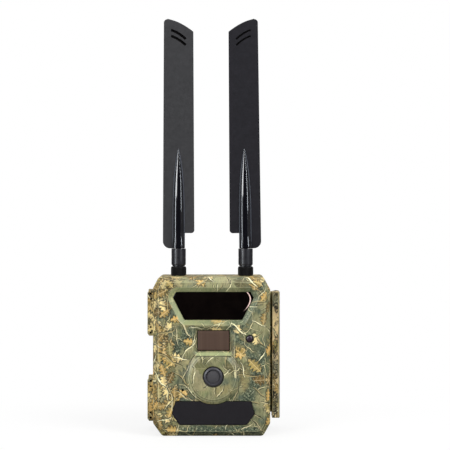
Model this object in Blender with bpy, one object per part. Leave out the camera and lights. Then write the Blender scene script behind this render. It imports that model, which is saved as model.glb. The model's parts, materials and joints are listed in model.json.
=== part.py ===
"""Trail camera with two hinged blade antennas, as separate sub-parts at real size.

World frame: +Z up, +X to the right of someone facing the camera, and the lens faces -Y.
The origin is under the middle of the case, on the surface that the case stands on.
Every dimension and coordinate below is in millimetres, and the meshes are made in metres.
"""
from math import atan2, cos, pi, radians, sin, sqrt

import bmesh
import bpy
from mathutils import Matrix, Vector

MM = 0.001
GAP = 0.3                      # running gap between neighbouring pieces
PAST = 1.0                     # how far a cutter runs past the face that it opens
SIDES = {"large": 32, "medium": 24, "small": 12}

# Case: an octagon seen from the front, split into a deep front unit and a shallow rear cover.
CASE_LEFT, CASE_RIGHT, CASE_HEIGHT = -54.4, 51.3, 143.4
CUT_LOWER_LEFT, CUT_LOWER_RIGHT = (8.3, 11.5), (6.4, 11.6)
CUT_UPPER_RIGHT, CUT_UPPER_LEFT = (6.3, 11.6), (5.2, 10.3)
CASE_CORNER_RADIUS = 4.0
FRONT_Y, SPLIT_Y, REAR_Y = -33.0, 18.0, 29.0
WALL, FRONT_WALL, RIM = 2.5, 5.0, 4.0
FRONT_EDGE = ((0.0, 4.5), (0.9, 2.2), (2.4, 0.7), (4.5, 0.0))    # behind the face, inset
REAR_BEVEL = 4.0
SEAL_INSETS, SEAL_DEPTH = (1.5, 2.6), 1.9
CAVITY_FRONT_Y = FRONT_Y + FRONT_WALL
RECESS_DEPTH, RECESS_FLARE, WINDOW_CORNER = 3.0, 4.0, 1.0

# Door hinge on the left, and the latch on the right.
HINGE = (-58.4, SPLIT_Y)
KNUCKLE_RADIUS, HINGE_BORE, HINGE_PIN = 2.9, 1.4, 1.1
KNUCKLE_LENGTH, FRONT_LEAF, REAR_LEAF, LEAF_CLEARANCE = 4.5, 16.0, 8.7, 5.0
KNUCKLE_FRONT_LEAF, LEAF_ROOT, LEAF_CHAMFER = 15.0, 1.5, 2.0
HINGE_SPANS = {"upper": (87.5, 129.6), "lower": (8.6, 48.7)}
SINK_HOLE_INSETS, SINK_HOLE_RADIUS, SINK_HOLE_DEPTH = (3.0, 8.0), 1.0, 3.0
LATCH_AXIS = (57.3, 27.0)
LATCH_OUTER_X, LATCH_WEB_X, LATCH_INNER_X = 60.9, 58.1, 53.8
LATCH_SPAN, LATCH_BARREL_SPAN = (12.4, 128.6), (20.5, 121.0)
LATCH_FRONT_Y, LATCH_ARM, LATCH_HOOK = -4.0, 6.0, (8.0, 10.5, 12.5)
LATCH_EAR, LATCH_RAIL_X, LATCH_RAIL = 6.0, 56.5, (19.0, 22.4)
LATCH_BARREL, LATCH_BORE, LATCH_PIN = 3.3, 1.4, 1.1

# Features of the front face.
LENS_Z, LENS_BORE, BOSS_BASE, BOSS_TOP, BOSS_RISE = 54.0, 9.5, 24.9, 20.4, 3.0
BOSS_FLAT_Z = 72.1
IR_HALF_WIDTHS = ((104.6, 26.0), (124.6, 36.6), (129.9, 33.6))
PIR_LEFT, PIR_RIGHT, PIR_LOW, PIR_HIGH = -14.6, 15.0, 76.6, 95.5
IR_THICKNESS, PIR_THICKNESS = 2.2, 1.6
PANEL_HALF_WIDTHS = ((10.9, 29.9), (20.6, 37.0), (31.7, 33.8))
PANEL_DEPTH = 2.0
PANEL_NOTCH = BOSS_BASE + GAP
LIGHT_SENSOR, LIGHT_SENSOR_RADIUS = (32.6, 87.9), 3.3
MICROPHONE, MICROPHONE_BORE, MICROPHONE_RISE = (-27.4, 42.1), 1.0, 0.6

# Antennas, each on a threaded socket in the top of the front unit.
ANTENNA_Y = -6.0
ANTENNAS = {"left": (-32.1, -1.0, 0.0), "right": (29.4, 1.0, 0.6)}   # axis x, outer side, lean
SOCKET_RADIUS, SOCKET_BORE = 3.1, 3.4
SOCKET_FLANGE_RADIUS, SOCKET_FLANGE = 5.0, 3.5
NUT_RADIUS, NUT_TOP = 6.55, 151.9
NECK_RADIUS, NECK_TOP = 5.0, 153.2
COLLAR_RADIUS, COLLAR_TOP = 6.1, 168.4
PIVOT_Z, CHEEK_SWEEP = 160.5, 8.0
TONGUE_HALF_WIDTH, TONGUE_RADIUS, ELBOW_PIN = 2.5, 3.2, 0.9
SPINE_BASE_Z, SPINE_TIP_Z, SPINE_RADIUS = 168.8, 259.8, 5.7
SPINE_TIP_HALF_WIDTH, SPINE_TIP_HALF_DEPTH = 0.4, 2.5
SPINE_SHARES, SPINE_SIDES = (0.0, 0.4, 0.6, 0.75, 0.86, 0.94, 1.0), 16
BLADE_HALF_THICKNESS = 2.0
BLADE_LOW, BLADE_STEP, BLADE_INNER_TOP, BLADE_OUTER_TOP = 168.6, 182.6, 367.7, 379.9
BLADE_HALF_WIDTH, BLADE_TOP_HALF_WIDTH, BLADE_TOP_BULGE = 14.4, 13.5, 2.2
BLADE_FOOT_RADIUS, BLADE_STEP_RADIUS = 6.5, 2.7
BLADE_GROOVES = ((360.6, 365.8, 368.9), (355.1, 360.3, 363.4))   # inner, middle, outer heights
GROOVE_INNER, GROOVE_OUTER, GROOVE_WIDTH, GROOVE_DEPTH = 6.6, 6.8, 1.9, 1.3

# Inside the front unit.
CHASSIS_FRONT, CHASSIS_REAR = 13.7, 16.2
CHASSIS_INSET = WALL + GAP
CELL_RADIUS, CELL_LENGTH, CELL_TIP_RADIUS, CELL_TIP_RISE = 7.1, 50.0, 2.7, 1.2
CELL_COLUMNS = (-22.5, -7.5, 7.5, 22.5)
CELL_LAYERS = {"front": -8.7, "rear": 5.9}
CELL_LOW = 8.0
TRAY_OUTER = ((-32.0, -18.4, 4.4), (32.0, 13.4, 63.0))
TRAY_WALL = 1.6
DOOR_OPENING = ((-28.0, 9.0), (28.0, 58.0))
LCD_LOW, LCD_HIGH, LCD_MARGIN, LCD_FRONT = (-39.0, 93.0), (11.0, 131.0), 3.0, 9.8
KEY_CENTRES = {"up": (33.0, 122.0), "down": (33.0, 100.0), "left": (23.0, 111.0),
               "right": (43.0, 111.0), "ok": (33.0, 111.0), "menu": (23.0, 97.0)}
KEY_RADIUS, KEY_FLANGE = 3.4, 4.2
KEY_BACK, KEY_FLANGE_TOP, KEY_TOP, KEY_SOFT = 12.2, 13.4, 17.2, 0.4
SWITCH_X, SWITCH_Z, SWITCH_TRAVEL = 26.0, 82.0, 8.0
SWITCH_KNOB, SWITCH_LIP, SWITCH_BACK, SWITCH_TOP = 4.0, 1.5, 11.0, 18.0
SD_CARD = ((-42.0, -14.5, 40.0), (-39.9, 17.6, 64.0))
SIM_CARD = ((-42.0, 1.0, 18.0), (-41.2, 17.4, 30.0))
SD_SOCKET_WALL, SD_SOCKET_REAR = 1.5, 10.0
JACK_X, JACK_Y, JACK_HALF, PLUG_HEAD, PLUG_STEM = 37.0, -2.0, 4.2, 4.0, 2.4

# Back of the camera.
BRIDGE_CENTRES = {"left": -30.0, "right": 27.0}
BRIDGE_HALF_WIDTH, BRIDGE_SPAN, STRAP_SPAN = 4.0, (54.0, 92.0), (60.0, 86.0)
BRIDGE_REAR_Y, STRAP_REAR_Y, BRIDGE_CHAMFER = 36.0, 33.7, (2.0, 3.0)
TRIPOD = (-1.5, 112.0)
TRIPOD_OUTER, TRIPOD_BORE, TRIPOD_DEPTH = 5.0, 2.9, 6.0

COLOURS = {   # base colour, roughness, metallic
    "camo_shell": ((0.30, 0.26, 0.15), 0.55, 0.0),
    "camo_latch": ((0.33, 0.28, 0.19), 0.55, 0.0),
    "window_black": ((0.004, 0.004, 0.005), 0.06, 0.0),
    "pir_brown": ((0.10, 0.065, 0.05), 0.35, 0.0),
    "panel_charcoal": ((0.022, 0.020, 0.024), 0.60, 0.0),
    "antenna_black": ((0.030, 0.030, 0.034), 0.55, 0.0),
    "gloss_black": ((0.008, 0.008, 0.010), 0.15, 0.0),
    "lens_grey": ((0.06, 0.06, 0.075), 0.08, 0.0),
    "sensor_dome": ((0.02, 0.014, 0.022), 0.15, 0.0),
    "seal_rubber": ((0.02, 0.02, 0.02), 0.85, 0.0),
    "steel": ((0.55, 0.55, 0.56), 0.30, 1.0),
    "brass": ((0.68, 0.50, 0.20), 0.28, 1.0),
    "circuit_board": ((0.02, 0.13, 0.05), 0.45, 0.0),
    "chassis_grey": ((0.10, 0.10, 0.10), 0.60, 0.0),
    "key_rubber": ((0.20, 0.20, 0.21), 0.70, 0.0),
    "card_plastic": ((0.03, 0.05, 0.14), 0.40, 0.0),
    "cell_wrap": ((0.04, 0.09, 0.05), 0.30, 0.0),
    "display_glass": ((0.02, 0.025, 0.03), 0.08, 0.0),
}

PLACE = {"xz": lambda u, v, w: (u, w, v), "xy": lambda u, v, w: (u, v, w),
         "yz": lambda u, v, w: (w, u, v)}
AXIS_END = {"x": lambda r, a, w, c: (w, c[0] + r * cos(a), c[1] + r * sin(a)),
            "y": lambda r, a, w, c: (c[0] + r * cos(a), w, c[1] + r * sin(a)),
            "z": lambda r, a, w, c: (c[0] + r * cos(a), c[1] + r * sin(a), w)}

materials = {}
axis_empties = {}
axis_points = {"rear_case": (0.0, 0.0, 0.0)}


# ---------------------------------------------------------------- outlines

def inset(outline, distance):
    """Move every side of an anticlockwise outline inwards by a distance."""
    moved = []
    count = len(outline)
    for i in range(count):
        before, here, after = outline[i - 1], outline[i], outline[(i + 1) % count]
        first = Vector((here[0] - before[0], here[1] - before[1])).normalized()
        second = Vector((after[0] - here[0], after[1] - here[1])).normalized()
        normal_a, normal_b = Vector((-first.y, first.x)), Vector((-second.y, second.x))
        middle = (normal_a + normal_b).normalized()
        step = middle * (distance / max(middle.dot(normal_a), 0.2))
        moved.append((here[0] + step.x, here[1] + step.y))
    return moved


def rounded(outline, radius, steps=3):
    """Replace every corner of an outline with an arc of a radius."""
    points = []
    count = len(outline)
    for i in range(count):
        here = Vector(outline[i])
        to_before = (Vector(outline[i - 1]) - here).normalized()
        to_after = (Vector(outline[(i + 1) % count]) - here).normalized()
        half = to_before.angle(to_after) / 2.0
        centre = here + (to_before + to_after).normalized() * (radius / sin(half))
        start = here + to_before * (radius / sin(half) * cos(half)) - centre
        finish = here + to_after * (radius / sin(half) * cos(half)) - centre
        start_angle = atan2(start.y, start.x)
        turn = (atan2(finish.y, finish.x) - start_angle + pi) % (2 * pi) - pi
        for k in range(steps + 1):
            angle = start_angle + turn * k / steps
            points.append((centre.x + radius * cos(angle), centre.y + radius * sin(angle)))
    return points


def rectangle(low, high):
    """Anticlockwise rectangle between two corners."""
    return [(low[0], low[1]), (high[0], low[1]), (high[0], high[1]), (low[0], high[1])]


def arc(centre, radius, start, finish, steps):
    """Points along an arc, angles in degrees."""
    angles = [radians(start + (finish - start) * k / steps) for k in range(steps + 1)]
    return [(centre[0] + radius * cos(a), centre[1] + radius * sin(a)) for a in angles]


def case_outline():
    """Octagon of the case, anticlockwise from the lower left."""
    return [(CASE_LEFT + CUT_LOWER_LEFT[0], 0.0),
            (CASE_RIGHT - CUT_LOWER_RIGHT[0], 0.0),
            (CASE_RIGHT, CUT_LOWER_RIGHT[1]),
            (CASE_RIGHT, CASE_HEIGHT - CUT_UPPER_RIGHT[1]),
            (CASE_RIGHT - CUT_UPPER_RIGHT[0], CASE_HEIGHT),
            (CASE_LEFT + CUT_UPPER_LEFT[0], CASE_HEIGHT),
            (CASE_LEFT, CASE_HEIGHT - CUT_UPPER_LEFT[1]),
            (CASE_LEFT, CUT_LOWER_LEFT[1])]


def case_ring(y, depth):
    """Case outline inset by a depth, at a distance along Y."""
    outline = rounded(inset(case_outline(), depth), CASE_CORNER_RADIUS)
    return [(x, y, z) for x, z in outline]


def mirrored_outline(half_widths):
    """Outline that is symmetric about X = 0, from (height, half width) pairs going up."""
    right = [(width, height) for height, width in half_widths]
    return right + [(-x, z) for x, z in reversed(right)]


def panel_outline(extra):
    """Lower trim panel, with a round notch under the lens; extra widens it for its recess."""
    outline = inset(mirrored_outline(PANEL_HALF_WIDTHS), -extra)
    notch = PANEL_NOTCH - extra
    top = outline[2][1]
    start = -90.0 + (180.0 / pi) * atan2(sqrt(notch ** 2 - (LENS_Z - top) ** 2), LENS_Z - top)
    curve = arc((0.0, LENS_Z), notch, start, -180.0 - start, 8)
    return outline[:3] + curve + outline[3:]


# ---------------------------------------------------------------- solids

def loft(rings):
    """Closed solid through rings of points, with flat ends."""
    bm = bmesh.new()
    rows = [[bm.verts.new(point) for point in ring] for ring in rings]
    count = len(rows[0])
    for lower, upper in zip(rows, rows[1:]):
        for i in range(count):
            j = (i + 1) % count
            bm.faces.new((lower[i], lower[j], upper[j], upper[i]))
    bm.faces.new(rows[0])
    bm.faces.new(rows[-1])
    return bm


def prism(outline, plane, low, high):
    """Outline in a plane, extruded along the third axis."""
    return loft([[PLACE[plane](u, v, w) for u, v in outline] for w in (low, high)])


def box(low, high):
    """Block between two corners."""
    return prism(rectangle(low[:2], high[:2]), "xy", low[2], high[2])


def turned(profile, axis, centre, sides=SIDES["medium"]):
    """Solid of revolution about an axis through centre, from (radius, distance) pairs.

    A profile that starts and ends on the axis is capped there, and any other is a closed loop.
    """
    bm = bmesh.new()
    angles = [2 * pi * k / sides for k in range(sides)]
    rows = []
    for radius, along in profile:
        if radius == 0:
            rows.append([bm.verts.new(AXIS_END[axis](0.0, 0.0, along, centre))])
        else:
            rows.append([bm.verts.new(AXIS_END[axis](radius, a, along, centre)) for a in angles])
    pairs = list(zip(rows, rows[1:]))
    if profile[0][0] > 0:
        pairs.append((rows[-1], rows[0]))
    for lower, upper in pairs:
        for i in range(sides):
            j = (i + 1) % sides
            corners = [lower[i % len(lower)], lower[j % len(lower)],
                       upper[j % len(upper)], upper[i % len(upper)]]
            bm.faces.new(list(dict.fromkeys(corners)))
    return bm


def rod(axis, centre, radius, low, high, sides=SIDES["medium"]):
    """Plain round bar along an axis."""
    return turned([(0, low), (radius, low), (radius, high), (0, high)], axis, centre, sides)


def together(*solids):
    """Several separate solids in one mesh, for use as one cutter."""
    bm = bmesh.new()
    for solid in solids:
        mesh = bpy.data.meshes.new("part")
        solid.to_mesh(mesh)
        solid.free()
        bm.from_mesh(mesh)
        bpy.data.meshes.remove(mesh)
    return bm


def leaned(solid, pivot, degrees):
    """Turn a solid about the Y axis through a pivot."""
    turn = Matrix.Rotation(radians(-degrees), 3, "Y")
    bmesh.ops.rotate(solid, cent=pivot, matrix=turn, verts=solid.verts)
    return solid


# ---------------------------------------------------------------- objects

def make_materials():
    """One Principled material for each finish."""
    for name, (colour, roughness, metallic) in COLOURS.items():
        material = bpy.data.materials.new(name)
        material.use_nodes = True
        shader = material.node_tree.nodes["Principled BSDF"]
        shader.inputs["Base Color"].default_value = (*colour, 1.0)
        shader.inputs["Roughness"].default_value = roughness
        shader.inputs["Metallic"].default_value = metallic
        materials[name] = material


def make_axis(body, point, parent="rear_case"):
    """Empty on the axis of a moving body, which its pieces are parented to."""
    empty = bpy.data.objects.new("axis_" + body, None)
    bpy.context.collection.objects.link(empty)
    axis_points[body] = point
    axis_empties[body] = empty
    empty.parent = axis_empties.get(parent)
    empty.location = (Vector(point) - Vector(axis_points[parent])) * MM


def make(name, solid, finish, body):
    """Named object from a solid in millimetres, with its origin on its body's axis."""
    origin = Vector(axis_points[body])
    bmesh.ops.recalc_face_normals(solid, faces=solid.faces)
    bmesh.ops.translate(solid, vec=-origin, verts=solid.verts)
    bmesh.ops.scale(solid, vec=(MM, MM, MM), verts=solid.verts)
    mesh = bpy.data.meshes.new(name)
    solid.to_mesh(mesh)
    solid.free()
    mesh.materials.append(materials[finish])
    mesh.shade_smooth()
    mesh.set_sharp_from_angle(angle=radians(35))
    piece = bpy.data.objects.new(name, mesh)
    bpy.context.collection.objects.link(piece)
    piece.parent = axis_empties.get(body)
    return piece


def make_tool(name, solid):
    """Hidden object that other pieces are cut or joined with."""
    tool = make("tool_" + name, solid, "steel", "rear_case")
    tool.hide_render = True
    tool.display_type = "WIRE"
    return tool


def apply_tool(piece, tool, operation, label):
    """Run one Boolean step on a piece."""
    modifier = piece.modifiers.new(label, "BOOLEAN")
    modifier.operation = operation
    modifier.solver = "EXACT"
    modifier.object = tool


def shape(piece, solid, operation, label):
    """Cut a solid out of a piece, or join one to it, with a hidden tool object."""
    apply_tool(piece, make_tool(piece.name + "_" + label, solid), operation, label)


# ---------------------------------------------------------------- front unit

def recess(outline):
    """Cutter for a window: a flared mouth in the front face, then a straight hole."""
    mouth = inset(outline, -RECESS_FLARE * (RECESS_DEPTH + PAST) / RECESS_DEPTH)
    levels = ((FRONT_Y - PAST, mouth), (FRONT_Y + RECESS_DEPTH, outline),
              (CAVITY_FRONT_Y + PAST, outline))
    return loft([[(x, y, z) for x, z in ring] for y, ring in levels])


def lens_boss():
    """Raised cone round the lens, cut flat where it meets the motion window."""
    rings = []
    for y, radius in ((FRONT_Y - BOSS_RISE, BOSS_TOP), (FRONT_Y, BOSS_BASE),
                      (FRONT_Y + 1.5, BOSS_BASE)):
        circle = arc((0.0, LENS_Z), radius, 0.0, 360.0, 48)[:-1]
        rings.append([(x, y, min(z, BOSS_FLAT_Z)) for x, z in circle])
    return loft(rings)


def microphone_boss():
    """Low rounded tab that runs from the microphone hole towards the lens."""
    x, z = MICROPHONE
    outline = arc((x + 4.4, z - 0.8), 4.4, -118.0, 62.0, 8)
    outline += arc((x - 0.6, z + 0.3), 2.4, 75.0, 255.0, 6)
    return prism(outline, "xz", FRONT_Y - MICROPHONE_RISE, FRONT_Y + PAST)


def knuckle(low, high, leaf):
    """Hinge knuckle: a barrel on the axis, and a leaf that runs along the case's side wall."""
    hinge_x, hinge_y = HINGE
    start = 0.4 if leaf > 0 else -0.4
    near_y, far_y = sorted((hinge_y + start, hinge_y + leaf))
    left, right = hinge_x - KNUCKLE_RADIUS, CASE_LEFT + LEAF_ROOT
    block = prism(rectangle((left, near_y), (right, far_y)), "xy", low, high)
    return block, rod("z", HINGE, KNUCKLE_RADIUS, low, high)


def hinge_leaf(low, high):
    """Side plate in front of the knuckles, over the hinge's whole length."""
    left, right = HINGE[0] - KNUCKLE_RADIUS, CASE_LEFT + LEAF_ROOT
    chamfer = LEAF_CHAMFER
    outline = [(left + chamfer, low), (right, low), (right, high), (left + chamfer, high),
               (left, high - chamfer), (left, low + chamfer)]
    return prism(outline, "xz", SPLIT_Y - FRONT_LEAF, SPLIT_Y - LEAF_CLEARANCE)


def make_front_housing():
    """Deep camouflaged front shell with its openings, lens boss and hinge knuckles."""
    rings = [case_ring(FRONT_Y + behind, depth) for behind, depth in FRONT_EDGE]
    rings.append(case_ring(SPLIT_Y, 0.0))
    shell = make("front_housing", loft(rings), "camo_shell", "front_unit")
    cavity = [case_ring(CAVITY_FRONT_Y, WALL), case_ring(SPLIT_Y + 5.0, WALL)]
    shape(shell, loft(cavity), "DIFFERENCE", "cavity")
    shape(shell, lens_boss(), "UNION", "lens_boss")
    shape(shell, microphone_boss(), "UNION", "microphone_boss")
    for label, (low, high) in HINGE_SPANS.items():
        middle = low + KNUCKLE_LENGTH + GAP, high - KNUCKLE_LENGTH - GAP
        block, barrel = knuckle(*middle, -KNUCKLE_FRONT_LEAF)
        shape(shell, hinge_leaf(low, high), "UNION", "leaf_" + label)
        shape(shell, block, "UNION", "block_" + label)
        shape(shell, barrel, "UNION", "barrel_" + label)
    window = rounded(mirrored_outline(IR_HALF_WIDTHS), WINDOW_CORNER, 2)
    motion = rounded(rectangle((PIR_LEFT, PIR_LOW), (PIR_RIGHT, PIR_HIGH)), WINDOW_CORNER, 2)
    shape(shell, together(recess(window), recess(motion)), "DIFFERENCE", "windows")
    panel = prism(panel_outline(GAP), "xz", FRONT_Y - PAST, FRONT_Y + PANEL_DEPTH + GAP)
    shape(shell, panel, "DIFFERENCE", "panel_seat")
    outside, inside = FRONT_Y - BOSS_RISE - PAST, CAVITY_FRONT_Y + PAST
    bores = [rod("y", (0.0, LENS_Z), LENS_BORE, outside, inside, SIDES["large"]),
             rod("y", LIGHT_SENSOR, LIGHT_SENSOR_RADIUS + GAP, outside, inside),
             rod("y", MICROPHONE, MICROPHONE_BORE, outside, inside, SIDES["small"]),
             rod("z", (JACK_X, JACK_Y), PLUG_HEAD + GAP, -PAST, WALL + PAST)]
    for x, _, _ in ANTENNAS.values():
        top_wall = CASE_HEIGHT - WALL - PAST, CASE_HEIGHT + PAST
        bores.append(rod("z", (x, ANTENNA_Y), SOCKET_BORE, *top_wall))
    for low, high in HINGE_SPANS.values():
        bores.append(rod("z", HINGE, HINGE_BORE, low, high, SIDES["small"]))
    shape(shell, together(*bores), "DIFFERENCE", "bores")
    sinks = []
    face_y = SPLIT_Y - FRONT_LEAF
    for low, high in HINGE_SPANS.values():
        for inset_z in SINK_HOLE_INSETS:
            for z in (low + inset_z, high - inset_z):
                sinks.append(rod("y", (HINGE[0], z), SINK_HOLE_RADIUS, face_y - PAST,
                                 face_y + SINK_HOLE_DEPTH, SIDES["small"]))
    shape(shell, together(*sinks), "DIFFERENCE", "sink_holes")


def make_windows():
    """Infrared window, motion window, lower trim panel and the small round sensors."""
    seat = FRONT_Y + RECESS_DEPTH + 0.2
    glass = inset(rounded(mirrored_outline(IR_HALF_WIDTHS), WINDOW_CORNER, 2), GAP)
    make("ir_window", prism(glass, "xz", seat, seat + IR_THICKNESS), "window_black", "front_unit")
    motion = inset(rectangle((PIR_LEFT, PIR_LOW), (PIR_RIGHT, PIR_HIGH)), GAP)
    make("pir_window", prism(motion, "xz", seat, seat + PIR_THICKNESS), "pir_brown", "front_unit")
    panel = prism(panel_outline(0.0), "xz", FRONT_Y, FRONT_Y + PANEL_DEPTH)
    make("lower_panel", panel, "panel_charcoal", "front_unit")
    dome = [(0, FRONT_Y - 0.9), (1.7, FRONT_Y - 0.7), (2.8, FRONT_Y), (3.0, FRONT_Y + 0.6),
            (3.0, FRONT_Y + 7.0), (0, FRONT_Y + 7.0)]
    make("light_sensor", turned(dome, "y", LIGHT_SENSOR), "sensor_dome", "front_unit")
    capsule = rod("y", MICROPHONE, 3.0, CAVITY_FRONT_Y + GAP, CAVITY_FRONT_Y + 2.5)
    make("microphone", capsule, "steel", "front_unit")


def make_lens():
    """Lens bezel ring, front glass, threaded barrel and the image sensor board."""
    centre = (0.0, LENS_Z)
    front = FRONT_Y - BOSS_RISE
    bezel = [(6.2, front + 2.4), (7.6, front + 0.6), (8.4, front + 0.4), (9.2, front + 1.0),
             (9.2, front + 9.0), (6.2, front + 9.0)]
    make("lens_bezel", turned(bezel, "y", centre, SIDES["large"]), "gloss_black", "front_unit")
    glass = [(0, front + 2.6), (3.0, front + 2.75), (5.9, front + 3.4), (5.9, front + 4.6),
             (0, front + 4.6)]
    make("lens_glass", turned(glass, "y", centre, SIDES["large"]), "lens_grey", "front_unit")
    barrel = [(0, front + 4.9), (5.9, front + 4.9), (5.9, front + 9.3), (7.0, front + 9.3),
              (7.0, front + 15.0), (0, front + 15.0)]
    make("lens_barrel", turned(barrel, "y", centre), "gloss_black", "front_unit")
    board = box((-13.0, front + 15.3, LENS_Z - 13.0), (13.0, front + 16.8, LENS_Z + 13.0))
    make("camera_board", board, "circuit_board", "front_unit")


def make_infrared_array():
    """Board behind the upper window with two rows of light-emitting diodes."""
    board_front, tip = -25.4, -27.2
    board = box((-32.0, board_front, 106.0), (32.0, board_front + 1.6, 128.0))
    piece = make("ir_led_board", board, "circuit_board", "front_unit")
    diodes = []
    for row_z in (112.0, 121.0):
        for k in range(8):
            x = -22.75 + 6.5 * k
            profile = [(0, tip), (1.6, tip + 0.5), (2.2, board_front + 0.5), (0, board_front + 0.5)]
            diodes.append(turned(profile, "y", (x, row_z), 8))
    shape(piece, together(*diodes), "UNION", "diodes")


def make_boards():
    """Motion sensor, main board, modem and display."""
    sensor = [(0, -27.6), (4.1, -27.6), (4.1, -23.6), (4.6, -23.6), (4.6, -22.9), (0, -22.9)]
    centre = ((PIR_LEFT + PIR_RIGHT) / 2, (PIR_LOW + PIR_HIGH) / 2)
    make("pir_sensor", turned(sensor, "y", centre), "steel", "front_unit")
    main = box((-46.0, -6.0, 66.0), (44.0, -4.4, 136.0))
    make("main_board", main, "circuit_board", "front_unit")
    modem = box((-20.0, -4.1, 96.0), (12.0, -1.4, 126.0))
    make("modem_module", modem, "steel", "front_unit")
    low, high = LCD_LOW, LCD_HIGH
    display = box((low[0] - LCD_MARGIN, LCD_FRONT, low[1] - LCD_MARGIN),
                  (high[0] + LCD_MARGIN, CHASSIS_FRONT - GAP, high[1] + LCD_MARGIN))
    make("lcd_module", display, "display_glass", "front_unit")


def make_chassis():
    """Inner plate behind the open door, with openings for everything that is reached there."""
    plate = loft([case_ring(CHASSIS_FRONT, CHASSIS_INSET), case_ring(CHASSIS_REAR, CHASSIS_INSET)])
    piece = make("chassis_plate", plate, "chassis_grey", "front_unit")
    span = CHASSIS_FRONT - PAST, CHASSIS_REAR + PAST
    cuts = [prism(rectangle(LCD_LOW, LCD_HIGH), "xz", *span),
            prism(rectangle(*DOOR_OPENING), "xz", *span)]
    for card in (SD_CARD, SIM_CARD):
        low, high = card
        slot = rectangle((low[0] - GAP, low[2] - GAP), (high[0] + GAP, high[2] + GAP))
        cuts.append(prism(slot, "xz", *span))
    slot_end = SWITCH_X + SWITCH_KNOB + SWITCH_TRAVEL + GAP
    slot = rectangle((SWITCH_X - GAP, SWITCH_Z), (slot_end, SWITCH_Z + SWITCH_KNOB))
    cuts.append(prism(slot, "xz", *span))
    for centre in KEY_CENTRES.values():
        cuts.append(rod("y", centre, KEY_RADIUS + GAP, *span, SIDES["small"]))
    shape(piece, together(*cuts), "DIFFERENCE", "openings")


def make_keys_and_switch():
    """Six round keys that press inwards, and the power switch that slides sideways."""
    for key, centre in KEY_CENTRES.items():
        make_axis("key_" + key, (centre[0], CHASSIS_REAR, centre[1]), "front_unit")
        profile = [(0, KEY_BACK), (KEY_FLANGE, KEY_BACK), (KEY_FLANGE, KEY_FLANGE_TOP),
                   (KEY_RADIUS, KEY_FLANGE_TOP), (KEY_RADIUS, KEY_TOP - KEY_SOFT),
                   (KEY_RADIUS - KEY_SOFT, KEY_TOP), (0, KEY_TOP)]
        cap = turned(profile, "y", centre, SIDES["small"])
        make("key_" + key, cap, "key_rubber", "key_" + key)
    x, z = SWITCH_X, SWITCH_Z
    make_axis("power_switch", (x + SWITCH_KNOB / 2, CHASSIS_REAR, z + SWITCH_KNOB / 2), "front_unit")
    knob = box((x, SWITCH_BACK + 1.0, z + GAP), (x + SWITCH_KNOB, SWITCH_TOP, z + SWITCH_KNOB - GAP))
    piece = make("power_switch", knob, "key_rubber", "power_switch")
    reach = SWITCH_KNOB + SWITCH_LIP
    foot = box((x - SWITCH_LIP, SWITCH_BACK, z - SWITCH_LIP),
               (x + reach, CHASSIS_FRONT - 0.5, z + reach))
    shape(piece, foot, "UNION", "foot")


def make_cards():
    """Memory card in its socket, and the network card."""
    for name, card in (("sd_card", SD_CARD), ("sim_card", SIM_CARD)):
        low, high = card
        axis_point = ((low[0] + high[0]) / 2, high[1], (low[2] + high[2]) / 2)
        make_axis(name, axis_point, "front_unit")
        make(name, box(low, high), "card_plastic", name)
    low, high = SD_CARD
    wall, rear = SD_SOCKET_WALL, SD_SOCKET_REAR
    outer = box([value - wall for value in low], (high[0] + wall, rear, high[2] + wall))
    socket = make("sd_socket", outer, "steel", "front_unit")
    inner = box([value - GAP for value in low], (high[0] + GAP, rear + PAST, high[2] + GAP))
    shape(socket, inner, "DIFFERENCE", "mouth")


def make_battery_bay():
    """Tray with eight AA cells, its contact strip and the lift-off battery door."""
    low, high = TRAY_OUTER
    tray = make("battery_tray", box(low, high), "chassis_grey", "front_unit")
    inner = box([value + TRAY_WALL for value in low],
                (high[0] - TRAY_WALL, high[1] + PAST, high[2] - TRAY_WALL))
    shape(tray, inner, "DIFFERENCE", "bay")
    for layer, y in CELL_LAYERS.items():
        for number, x in enumerate(CELL_COLUMNS, start=1):
            top, shoulder = CELL_LOW + CELL_LENGTH, CELL_LOW + CELL_LENGTH - CELL_TIP_RISE
            profile = [(0, CELL_LOW), (CELL_RADIUS, CELL_LOW), (CELL_RADIUS, shoulder),
                       (CELL_TIP_RADIUS, shoulder), (CELL_TIP_RADIUS, top), (0, top)]
            cell = turned(profile, "z", (x, y), 16)
            make("battery_cell_" + layer + "_" + str(number), cell, "cell_wrap", "front_unit")
    reach = CELL_COLUMNS[-1] + CELL_RADIUS - 1.0
    bottom, top = low[2] + TRAY_WALL + GAP, high[2] - TRAY_WALL - GAP
    strip_y = low[1] + TRAY_WALL + 0.1
    inner_y, end_y, sheet = strip_y + 0.5, high[1] - 1.4, 0.8
    outline = [(end_y, bottom), (end_y, bottom + sheet), (inner_y, bottom + sheet),
               (inner_y, top - sheet), (end_y, top - sheet), (end_y, top),
               (strip_y, top), (strip_y, bottom)]
    make("battery_contacts", prism(outline, "yz", -reach, reach), "steel", "front_unit")
    door_low, door_high = DOOR_OPENING
    make_axis("battery_door", (0.0, CHASSIS_REAR, (door_low[1] + door_high[1]) / 2), "front_unit")
    lid = inset(rectangle(door_low, door_high), GAP)
    door = make("battery_door", prism(lid, "xz", CHASSIS_FRONT + 0.2, CHASSIS_REAR), "chassis_grey",
                "battery_door")
    grip = box((-8.0, CHASSIS_REAR - 0.5, 12.0), (8.0, CHASSIS_REAR + 1.2, 15.0))
    shape(door, grip, "UNION", "finger_lip")


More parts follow.
